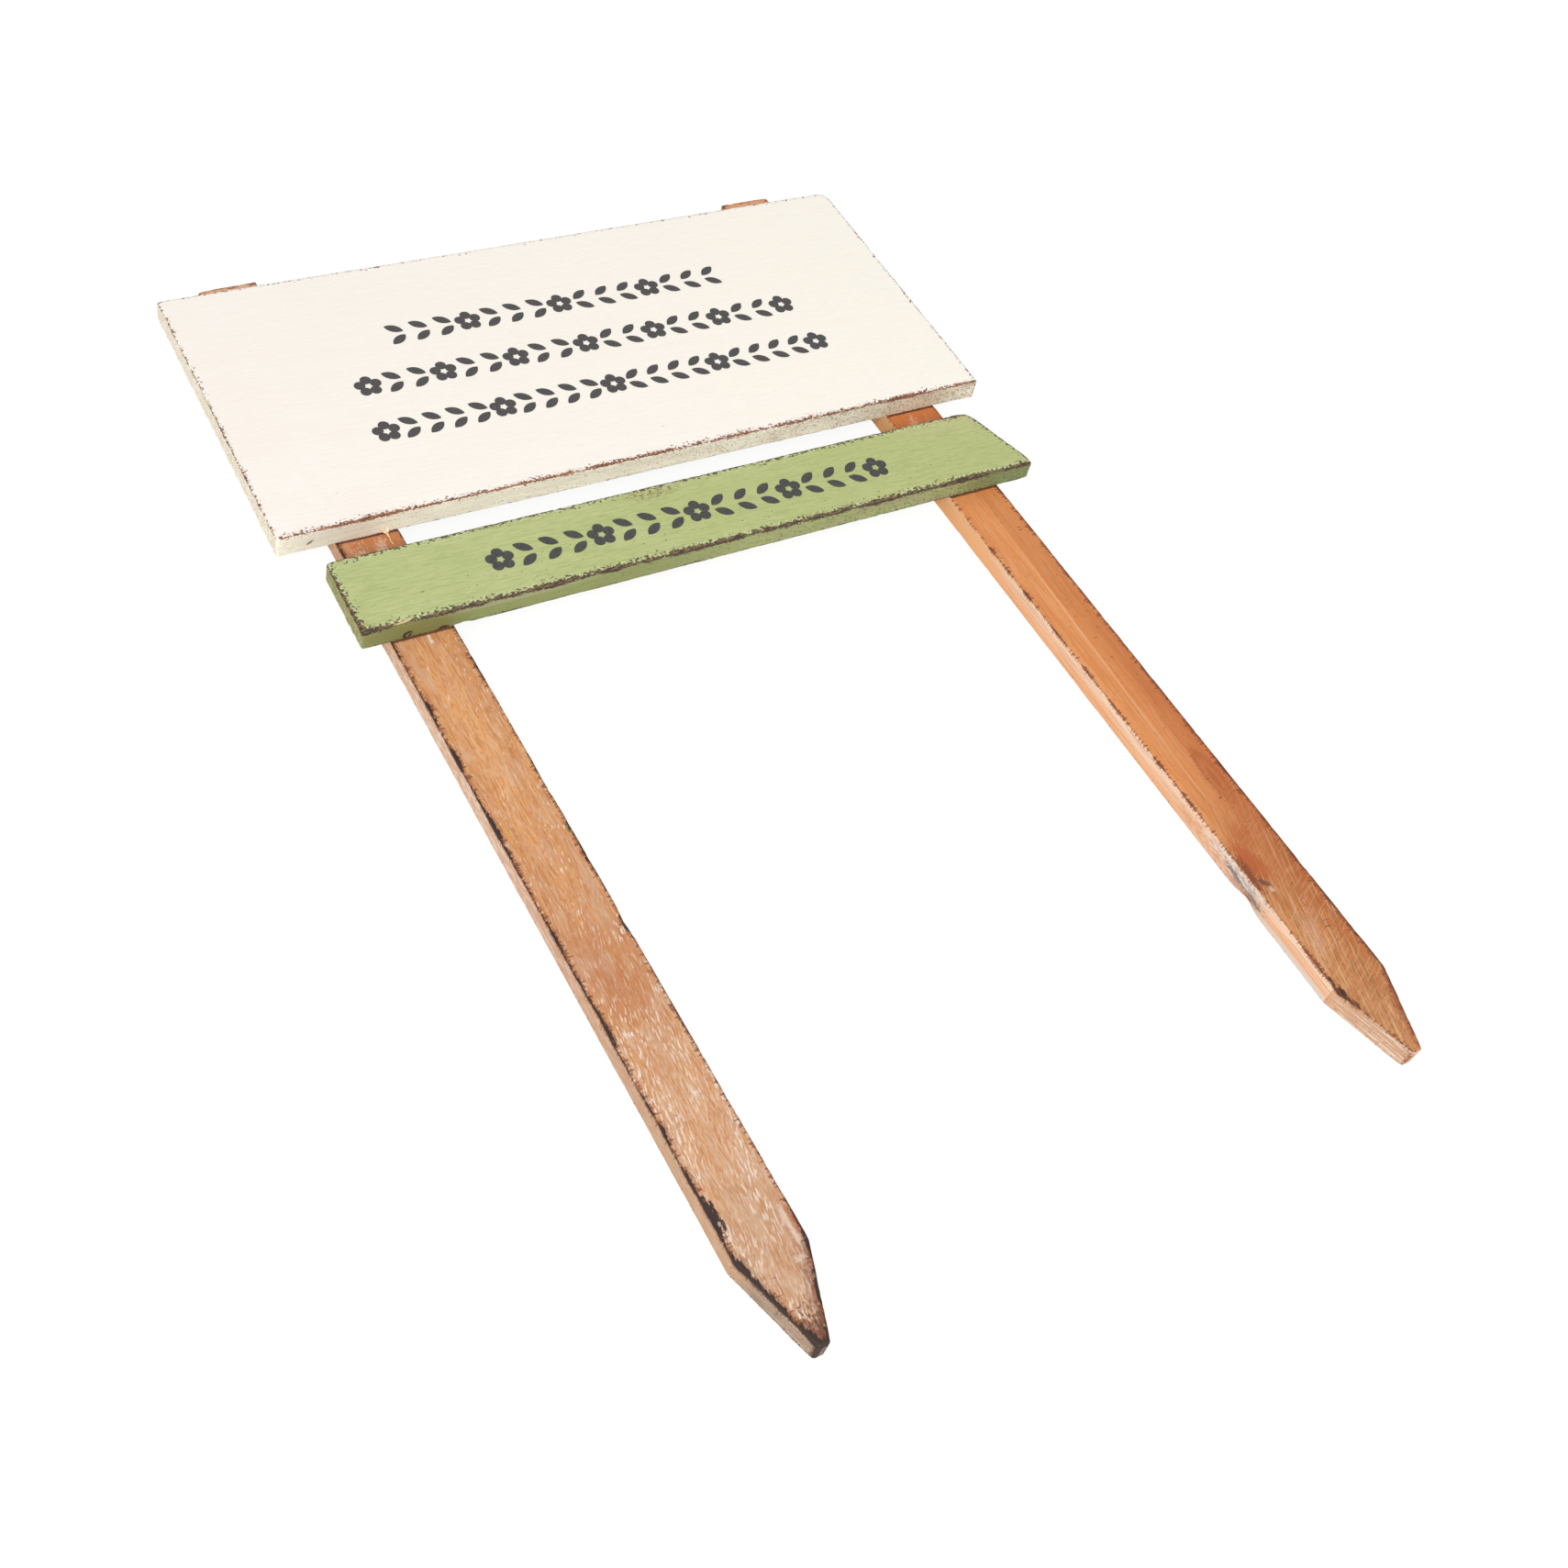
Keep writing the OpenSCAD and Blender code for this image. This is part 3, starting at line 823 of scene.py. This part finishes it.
def tan_pine_side():
    """The left stake's narrow sides, where the whitewash stayed thick: pinkish, mottled white."""
    material, tree, fields, place = wood_finish("pine, tan oil stain under thick whitewash")
    lines = marks(tree, place, 30, 0.8, 0.35, blur=0.09, shift=8.0, detail=3.0)
    mottle = marks(tree, place, 5, 1.2, 0.38, blur=0.06, shift=21.0)
    smooth = add(tree, "MapRange", {"Value": fields["wash"], "To Min": 0.75, "To Max": 0.2})
    colour = coats(tree, "#e1b797", [
        (fields["wash"], 0.7, "#bc9670"), (lines, 0.5, "#cf9a74"),
        # deep darkens where the stain has sunk in, and paints shade in the gap between the slat and
        # the board
        (mottle, smooth, "#f3e0d0"), (fields["deep"], 0.55, "#c28258"),
        *worn_dark(tree, fields, 0.4, 0.7, "#93603f", "#3c2a24"),
    ])
    height = drawn_out(tree, place, 12, 0.8, detail=3.0)
    return surface(material, tree, colour, height, roughness=0.7, relief_mm=0.25)


def orange_pine_front():
    """Pine with an orange oil stain, planed smooth: long faint lines, one pale growth line, a
    knot's red shadow, and crossing saw marks with whitewash left in them near the point."""
    material, tree, fields, place = wood_finish("pine, orange oil stain on planed wood")
    bent = wavy(tree, place, 1.2, 45)
    broad = marks(tree, bent, 90, 6, 0.45, blur=0.12, shift=3.0)
    pale = marks(tree, bent, 60, 4, 0.3, blur=0.1, shift=33.0)
    dark_lines = marks(tree, bent, 34, 1.1, 0.26, shift=8.0, detail=3.0)
    pale_lines = marks(tree, bent, 24, 0.9, 0.2, shift=18.0, detail=3.0)
    pores = marks(tree, bent, 3.6, 0.8, 0.14, blur=0.04, shift=38.0)
    sawn = add(tree, "MapRange", {"Value": fields["wash"], "To Max": 0.6})
    pale_saw = marks(tree, place, 18, 0.9, 0.22, turn=-17.0, shift=31.0, detail=1.0)
    dark_saw = marks(tree, place, 16, 0.9, 0.25, turn=-15.0, shift=51.0, detail=1.0)
    cross_saw = marks(tree, place, 9, 0.9, 0.2, turn=-62.0, shift=61.0, detail=1.0)
    curls = marks(tree, place, 5, 1.1, 0.25, turn=22.0, shift=81.0)
    colour = coats(tree, "#e39456", [
        (broad, 0.5, "#d28244"), (pale, 0.4, "#e8a56e"), (dark_lines, 0.26, "#b0642f"),
        (pale_lines, 0.28, "#e9b688"), (pores, 0.26, "#a05f38"),
        *single_marks(tree, place, [
            ("#b86a34", 0.32, (-232, 9, 12), (84, 8, 9), 2, 0, 0.5),
            ("#f6c79b", 0.4, (-265.3, -2.8, 12), (88, 0.6, 3), -1.8, 0, 0.5),
            ("#efc09a", 0.6, (94, 2, 12), (6, 16, 9), 0, 0, 0.5),
            ("#a95c2e", 0.75, (-345, 6.4, 12), (17, 4.6, 9), 0, 0.2),
            ("#cf8450", 0.8, (-346, 6.2, 12), (13.5, 3.0, 9), 0, 0.2),
            ("#a85c30", 0.7, (-347, 6.0, 12), (7, 1.2, 9), 0, 0.2),
            ("#90653a", 0.32, (-432, 0, 12), (64, 30, 9), 0, 0, 0.5),
            ("#9a7c62", 0.22, (-484, 0, 12), (26, 20, 9), 0, 0, 0.5),
            # Painted shade: a deeper orange in the gap between the slat and the board
            ("#dc702e", 0.28, (-98, 0, 12), (18, 22, 9), 0, 0, 0.3),
        ]),
        # deep darkens where the stain has sunk in, and paints shade in the gap between the slat and
        # the board
        (fields["deep"], 0.8, "#b25a26"), (curls, sawn, 0.7, "#a8653a"),
        (dark_saw, sawn, "#985f2f"), (cross_saw, sawn, 0.6, "#d7a26d"),
        (pale_saw, sawn, 0.85, "#dfb286"),
        *single_marks(tree, place, [
            ("#f0c39c", 0.4, (-97, -4, 12), (9, 2.2, 3), -14, 0.9, 0.5),
            ("#f0c39c", 0.4, (-100, 4, 12), (7, 1.6, 3), -14, 0.9, 0.5),
            ("#dfc0a8", 0.22, (-434, -4.5, 12), (13, 3.4, 9), -24, 0.9, 0.5),
            ("#b55627", 0.65, (-391, -7.5, 12), (11, 4.6, 4), 14, 0.5, 0.5),
            ("#7c3c20", 0.85, (-397, -13, 12), (10, 2.3, 4), 0, 0.6, 0.5),
            ("#8a4a28", 0.55, (-477, 9.5, 12), (17, 3.4, 9), -18, 0.9, 0.5),
            ("#67463a", 0.85, (-403.5, -9.4, 12), (2.8, 1.6, 3), 25, 0.9, 0.5),
            ("#d3b29c", 0.8, (-407.5, -8.2, 12), (1.8, 1.0, 3), 0, 0.5),
        ]),
        *worn_dark(tree, fields, 0.5, 0.7, "#8c4626", "#66351f"),
        *single_marks(tree, place, [
            ("#3c2118", 0.85, (-456, -14, 12), (2.6, 0.8, 3), 0, 0.9),
            ("#3c2118", 0.95, (-462.4, -12.8, 12), (2.8, 1.0, 3), 0, 0.9),
            ("#4a2a1c", 0.9, (-470.4, -10.4, 12), (1.7, 0.9, 3), 0, 0.9),
        ]),
        # Painted contact shadow under the board's and the slat's lower edges
        *painted_contact_shadows(tree, place, RIGHT_STAKE["lean"]),
    ])
    ridges = drawn_out(tree, bent, 30, 0.8, shift=8.0, detail=3.0)
    grooves = add(tree, "Math", {0: pale_saw, 1: fields["wash"]}, operation="MULTIPLY")
    height = add(tree, "Math", {0: ridges, 1: grooves}, operation="SUBTRACT")
    return surface(material, tree, colour, height, roughness=0.6, relief_mm=0.15)


def orange_pine_side():
    """The right stake's narrow sides: an orange band near the back, whitewash near the front,
    and the grey-blue knot that has broken out of the back edge."""
    material, tree, fields, place = wood_finish("pine, orange oil stain streaked with whitewash")
    depth = add(tree, "SeparateXYZ", {0: place}).outputs["Z"]
    to_front = add(tree, "MapRange", {
        "Value": depth, "From Min": 3.5, "From Max": 10.0, "To Min": 0.03, "To Max": 0.68,
    })
    streaks = marks(tree, place, 40, 1.3, 0.35, blur=0.1, shift=4.0)
    front_band = add(tree, "Math", {0: streaks, 1: 0.25, 2: to_front}, operation="MULTIPLY_ADD")
    lines = marks(tree, place, 34, 0.6, 0.3, blur=0.07, shift=8.0, detail=3.0)
    to_back = add(tree, "MapRange", {
        "Value": depth, "From Min": 1.6, "From Max": 4.8, "To Min": 0.9, "To Max": 0.0,
    })
    curls = marks(tree, place, 3.4, 0.9, 0.4, shift=91.0)
    specks = marks(tree, place, 2.4, 0.8, 0.25, shift=95.0)
    by_knot = spot(tree, place, (-384, -15, 6), (30, 30, 5), ragged=0.3, soft=0.3)
    over_knot = spot(tree, place, (-396, -15, 9), (17, 30, 4), ragged=0.3, soft=0.3)
    colour = coats(tree, "#f0b07c", [
        (front_band, "#f8e0ca"), (lines, 0.6, "#d18a55"),
        # deep darkens where the stain has sunk in, and paints shade in the gap between the slat and
        # the board
        (to_back, fields["wash"], "#ddd3c8"), (fields["deep"], 0.4, "#cf8a58"),
        *single_marks(tree, place, [
            # Painted light: a bright orange that lifts the shaded side in the gap between the slat
            # and the board
            ("#ffbe78", 0.8, (-96, -15, 6), (18, 30, 24), 0, 0, 0.4),
            ("#efae72", 0.75, (-158, -15, 6), (40, 30, 24), 0, 0, 0.5),
            ("#e8dccf", 0.75, (-392, -15, 8.8), (20, 30, 4.4), 0, 0.4, 0.4),
        ]),
        (curls, by_knot, 0.6, "#cf8f70"), (specks, over_knot, 0.7, "#8d8a83"),
        *single_marks(tree, place, [
            ("#c08a6c", 0.6, (-397, -15, 2.8), (8, 30, 1.6), 0, 0.6),
            ("#b5aaa4", 0.6, (-400, -15, 8.2), (8, 30, 1.3), 0, 0.9),
            ("#77757c", 0.9, (-392, -15, 5.8), (6, 30, 1.5), 10, 0.7, 0.4, "Y_AXIS"),
            ("#82776f", 0.9, (-406, -15, 4.8), (6, 30, 1.7), 0, 0.7, 0.4),
        ]),
        *worn_dark(tree, fields, 0.35, 0.6, "#9a5c38", "#7a482f"),
    ])
    height = drawn_out(tree, place, 24, 0.7, detail=3.0)
    return surface(material, tree, colour, height, roughness=0.65, relief_mm=0.2)


def sawn_point(name, tone, pale, line, grey, burnt, dark, above):
    """A stake's point where the saw left it open and the whitewash went grey: streaks, dirt and
    a dark rim, running into the colour of the side above it."""
    material, tree, fields, place = wood_finish(name)
    down_slope = add(tree, "VectorMath", {0: place, 1: (1, 0, 1)}, operation="MULTIPLY")
    streaks = marks(tree, down_slope, 24, 1.3, 0.42, blur=0.07, shift=8.0, detail=3.0)
    lines = marks(tree, down_slope, 16, 1.0, 0.25, shift=28.0)
    dirt = marks(tree, place, 7, 2.4, 0.3, blur=0.08, shift=14.0)
    specks = marks(tree, place, 1.2, 0.8, 0.1, blur=0.04, shift=44.0)
    along = add(tree, "SeparateXYZ", {0: place}).outputs["X"]
    shoulder = add(tree, "MapRange", {
        "Value": along, "From Min": -471.0, "From Max": -459.0, "To Max": 0.85,
    })
    colour = coats(tree, tone, [
        (streaks, 0.8, pale), (lines, 0.6, line), (dirt, 0.5, grey), (shoulder, above),
        (specks, 0.6, burnt), *worn_dark(tree, fields, 0.5, 0.7, burnt, dark),
    ])
    height = drawn_out(tree, place, 9, 0.8, detail=3.0)
    return surface(material, tree, colour, height, roughness=0.8, relief_mm=0.2)


def plain_finish(name, tone, tint, roughness, size_mm, relief_mm, **sockets):
    """A small piece's finish: one tone with a faint second one, and a fine relief of size_mm."""
    material, tree = empty_finish(name)
    place = add(tree, "VectorMath", {
        0: add(tree, "TexCoord").outputs["Object"], "Scale": 1 / MM,
    }, operation="SCALE")
    mottle = marks(tree, place, size_mm, size_mm, 0.3, blur=0.08)
    height = drawn_out(tree, place, size_mm, size_mm)
    colour = coats(tree, tone, [(mottle, tint)])
    return surface(material, tree, colour, height, roughness, relief_mm, **sockets)


cream_front = brushed_chalk_paint(
    "cream chalk paint, brushed and sanded back", tone="#fbf3ea", pale="#fcf5ed",
    far_tone="#fffaee", streak="#f5ece1", under="#6f4130", bare="#a56a4c", border="#d9b093",
    fleck="#fbf6ef", reach=1.0, streaks=0.3, specks=0.16, listed=[
        ("#6b4c3a", 0.8, (-189.6, -39.8, 23), (2.0, 0.35, 3), -28),
    ])
cream_side = painted_saw_cut(
    "cream chalk paint on a sawn edge", tone="#fcf5e2", streak="#f4ecd6", far_tone="#e4d4bb",
    speck="#b59a7c", under="#8a5a43", reach=0.45, specks=0.1, listed=[
        ("#cac0b0", 0.65, (-165, -84, 17), (24, 9, 9), 0, 0.3, 0.5),
        ("#5d4434", 0.85, (-175.2, -84.2, 16.4), (2.1, 6, 0.6), 35, 0.4, 0.2, "Y_AXIS"),
        ("#b3a084", 0.45, (150, -84, 15.5), (34, 9, 9), 0, 0, 0.6),
    ])
cream_end = open_end_grain(
    "cream wash over sawn pine end grain", tone="#fdf2dc", pale="#fffaf0", fibre="#e6cda2",
    under="#6b4a36")
cream_back = painted_saw_cut(
    "thin cream coat on the board's back", tone="#ece3d2", streak="#dfcfb4", far_tone="#d8c6a8",
    speck="#b79a78", under="#8a6246", reach=0.4, specks=0.1)
green_front = brushed_chalk_paint(
    "green chalk paint, brushed and sanded back", tone="#b9c184", pale="#c1c88f",
    far_tone="#bdc283", streak="#a2af6d", under="#46372a", bare="#86694c", border="#9a8f5e",
    fleck="#d2d8a6", reach=0.95, streaks=0.5, specks=0.3, listed=[
        ("#4b3a30", 0.95, (-181.3, -21.3, 22.5), (3.6, 1.9, 4), 0, 0.5),
    ], scuffs=[
        ("#86694c", (-22, 18.5, 22.5), (13, 4.5, 3), 0, 0, 0.5),
        ("#c9bf93", (148, 17, 22.5), (24, 6, 3), 0, 0, 0.6),
    ])
green_side = painted_saw_cut(
    "green chalk paint on a sawn edge", tone="#9fa56e", streak="#8f985c", far_tone="#97936a",
    speck="#6a6a42", under="#46372a", reach=0.75, specks=0.08, listed=[
        ("#7d834c", 0.65, (-90, -22, 17), (80, 9, 12), 0, 0, 0.5),
        ("#706d38", 0.7, (-160, -22, 17), (24, 6, 9), 0, 0, 0.4),
        ("#6c7846", 0.65, (164, -22, 17), (24, 6, 9), 0, 0, 0.5),
        ("#b3a88a", 0.4, (-105, -22, 20.8), (34, 6, 1.8), 0, 0, 0.6),
        ("#35251d", 0.95, (-143.1, -22, 12.9), (2.6, 6, 1.4), 0, 0.3),
    ])
green_end = open_end_grain(
    "green chalk paint on sawn end grain", tone="#a2a468", pale="#bfb781", fibre="#75713f",
    under="#46372a")
green_back = painted_saw_cut(
    "thin green coat on the slat's back", tone="#a6b57a", streak="#98a56a", far_tone="#9c9a68",
    speck="#8a7350", under="#5a4632", reach=0.5, specks=0.12)
left_wood, left_side_wood = tan_pine_front(), tan_pine_side()
right_wood, right_side_wood = orange_pine_front(), orange_pine_side()
left_point_wood = sawn_point(
    "grey whitewash on the left stake's sawn point", tone="#a58a72", pale="#bea893",
    line="#967154", grey="#857668", burnt="#6d4632", dark="#33231e", above="#cb9f7a")
right_point_wood = sawn_point(
    "whitewash on the right stake's sawn point", tone="#c79c7c", pale="#e6d3c0",
    line="#c98a55", grey="#bb9880", burnt="#9a6440", dark="#582c1d", above="#d3a27b")
# Drilled pine without stain is dull, and paler than the wood around it
hole_wood = plain_finish(
    "bare pine in a screw hole", tone="#c99a68", tint="#a87a4c", roughness=0.85, size_mm=1.2,
    relief_mm=0.1)

# Pieces of wood; their sides go from LOW_X to FRONT, then HOLE and SLOPE

main_board = wooden_piece("main_board", board_shape(), {
    "materials": [cream_front, cream_side, cream_end, cream_back],
    "on_sides": (2, 2, 1, 1, 3, 0, 3, 3),
})
slat = wooden_piece("slat", slat_shape(), {
    "materials": [green_front, green_side, green_end, green_back],
    "on_sides": (2, 1, 1, 1, 3, 0, 3, 3),
})
left_stake = wooden_piece("left_stake", left_stake_shape(), {
    "materials": [left_wood, left_side_wood, left_point_wood, hole_wood],
    "on_sides": (1, 1, 2, 0, 0, 0, 3, 2),
})
right_stake = wooden_piece("right_stake", right_stake_shape(), {
    "materials": [right_wood, right_side_wood, right_point_wood, hole_wood],
    "on_sides": (1, 1, 2, 0, 0, 0, 3, 2),
})


# Slivers and glue

def smooth_path(knots, steps=5):
    """Points on a smooth curve through the knots; a knot is a place and the half width there."""
    knots = [np.array(knot, float) for knot in knots]
    knots = [2 * knots[0] - knots[1]] + knots + [2 * knots[-1] - knots[-2]]
    points = []
    for a, b, c, d in zip(knots, knots[1:], knots[2:], knots[3:]):
        for t in np.arange(steps) / steps:
            points.append(0.5 * (2 * b + (c - a) * t + (2 * a - 5 * b + 4 * c - d) * t ** 2
                                 + (3 * b - a - 3 * c + d) * t ** 3))
    return np.array(points + [knots[-2]])


def small_strands(name, strands, outward, flatness, finish):
    """A piece of thin closed strands in mm in the row frame, flatter towards outward."""
    bm = bmesh.new()
    out = Vector(outward)
    for knots in strands:
        path = smooth_path(knots)
        rings = []
        for i, (*place, half) in enumerate(path):
            ahead = Vector(path[min(i + 1, len(path) - 1)][:3] - path[max(i - 1, 0)][:3])
            beside = ahead.cross(out).normalized()
            rings.append(circle_of(
                bm, Vector(place) * MM, beside * half * MM, out * half * flatness * MM,
                STRAND_SIDES))
        skin_between(bm, rings)
        bm.faces.new(rings[0])
        bm.faces.new(rings[-1])
    bmesh.ops.recalc_face_normals(bm, faces=bm.faces)
    mesh = bpy.data.meshes.new(name)
    bm.to_mesh(mesh)
    bm.free()
    mesh.polygons.foreach_set("use_smooth", np.ones(len(mesh.polygons), bool))
    mesh.materials.append(finish)
    put_on_sign(name, mesh)


# Glue that has run out and dried is smooth enough to catch a soft shine
small_strands("glue_bead", [
    [(-142.4, 115.2, 15.3, 0.3), (-141.4, 115.0, 14.6, 0.9), (-140.2, 114.8, 13.4, 1.3),
     (-139.0, 114.9, 13.6, 1.0), (-138.2, 115.2, 14.6, 0.25)],
    [(-139.9, 114.6, 12.6, 0.7), (-139.4, 112.4, 12.2, 0.35), (-139.6, 109.6, 12.15, 0.3),
     (-139.3, 106.8, 12.1, 0.2)],
], (0, -0.5, 0.87), 0.8, plain_finish(
    "wood glue, squeezed out and dried", tone="#ecd9c0", tint="#d9b893", roughness=0.4,
    size_mm=1.4, relief_mm=0.1))
# Torn pine shows its pale inside, dull and without paint
small_strands("slat_splinter", [
    [(-161.2, 52.75, 22.4, 0.1), (-158.6, 52.9, 22.55, 0.45), (-155.4, 53.1, 22.62, 0.55),
     (-152.6, 53.7, 22.6, 0.4), (-150.2, 54.6, 22.45, 0.08)],
], (0, 0, 1), 0.45, plain_finish(
    "torn sliver of bare pine", tone="#dcbd90", tint="#c49a68", roughness=0.8, size_mm=1.0,
    relief_mm=0.1))
# Crushed wood takes up dirt and goes nearly black
small_strands("slat_curl", [
    [(-152.3, 52.35, 15.6, 0.25), (-153.8, 52.3, 16.0, 0.55), (-155.4, 52.25, 15.3, 0.65),
     (-156.1, 52.25, 13.9, 0.6), (-155.3, 52.3, 12.9, 0.4), (-154.3, 52.35, 12.7, 0.15)],
    [(-154.1, 52.35, 12.9, 0.2), (-153.4, 52.3, 13.9, 0.5), (-152.4, 52.35, 14.8, 0.2)],
], (0, -1, 0), 0.8, plain_finish(
    "curl of dark bruised wood", tone="#301c13", tint="#5a3521", roughness=0.75, size_mm=0.8,
    relief_mm=0.1))

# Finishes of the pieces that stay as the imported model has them: zinc with a satin shine from
# tumbling, whose marks are drawn coarser than they are, and stencil paint dabbed on with a stiff
# brush, dull and slightly mottled
for node, finish in {
    "screws": plain_finish(
        "zinc plated steel, tumbled", tone="#b9b9b4", tint="#a3a39e", roughness=0.38,
        size_mm=0.9, relief_mm=0.02, Metallic=1.0),
    "board_stencil": plain_finish(
        "stencil paint on the board, dabbed on", tone="#4a4847", tint="#5b5957", roughness=0.7,
        size_mm=0.8, relief_mm=0.05),
    "slat_stencil": plain_finish(
        "stencil paint on the slat, dabbed on", tone="#444443", tint="#54544c", roughness=0.7,
        size_mm=0.8, relief_mm=0.05),
}.items():
    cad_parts[node].data.materials.clear()
    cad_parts[node].data.materials.append(finish)


# The floor, the light and the camera

# The light that the floor gives off where the camera sees it, straight or mirrored
FLOOR_GLOW = 0.885


def white_floor():
    """A plain pale floor that the sign lies on, white to the camera and keeping its soft shadow."""
    material, tree = empty_finish("pale studio floor")
    rays = add(tree, "LightPath")
    seen = add(tree, "Math", {
        0: rays.outputs["Is Camera Ray"], 1: rays.outputs["Is Glossy Ray"],
    }, operation="MAXIMUM")
    seen = add(tree, "Math", {0: seen, 1: rays.outputs["Is Transmission Ray"]}, operation="MAXIMUM")
    colour = coats(tree, "#ececea", [(seen, "#6a6a6a")])
    matt = add(tree, "BsdfDiffuse", {"Color": colour})
    glow = add(tree, "Math", {0: seen, 1: FLOOR_GLOW}, operation="MULTIPLY")
    light = add(tree, "Emission", {"Color": srgb("#ffffff"), "Strength": glow})
    both = add(tree, "AddShader", {0: matt, 1: light})
    add(tree, "OutputMaterial", {"Surface": both})
    bpy.ops.mesh.primitive_plane_add(size=8.0, location=(0, 0, -0.0002))
    floor = bpy.context.object
    floor.name = "floor"
    floor.data.materials.append(material)


def studio_light():
    """An even white room, and one wide lamp in front of the sign, to its left."""
    world = bpy.data.worlds.new("white room")
    bpy.context.scene.world = world
    world.use_nodes = True
    tree = world.node_tree
    tree.nodes.clear()
    rays = add(tree, "LightPath")
    strength = add(tree, "MapRange", {
        "Value": rays.outputs["Is Camera Ray"], "To Min": 0.5, "To Max": 1.0,
    })
    room = add(tree, "Background", {"Color": srgb("#ffffff"), "Strength": strength})
    add(tree, "OutputWorld", {"Surface": room})
    lamp = bpy.data.lights.new("softbox", "AREA")
    lamp.shape = "DISK"
    lamp.size = 3.0
    lamp.energy = 154.0
    softbox = bpy.data.objects.new("softbox", lamp)
    softbox.location = (-1.5, -2.6, 2.9)
    softbox.rotation_mode = "QUATERNION"
    aim = Vector((0, 0, 0)) - softbox.location
    softbox.rotation_quaternion = aim.to_track_quat("-Z", "Y")
    bpy.context.scene.collection.objects.link(softbox)


def photograph_camera():
    """The camera of the photograph, worked out from the sign's straight edges."""
    view = bpy.data.cameras.new("camera")
    view.sensor_width = 36.0
    view.lens = 40.65
    view.clip_start = 0.01
    camera = bpy.data.objects.new("camera", view)
    camera.location = (-0.36428, -0.42956, 0.61093)
    camera.rotation_euler = [math.radians(angle) for angle in (37.455, -11.179, -29.001)]
    bpy.context.scene.collection.objects.link(camera)
    bpy.context.scene.camera = camera


white_floor()
studio_light()
photograph_camera()
bpy.context.scene.view_settings.view_transform = "Standard"
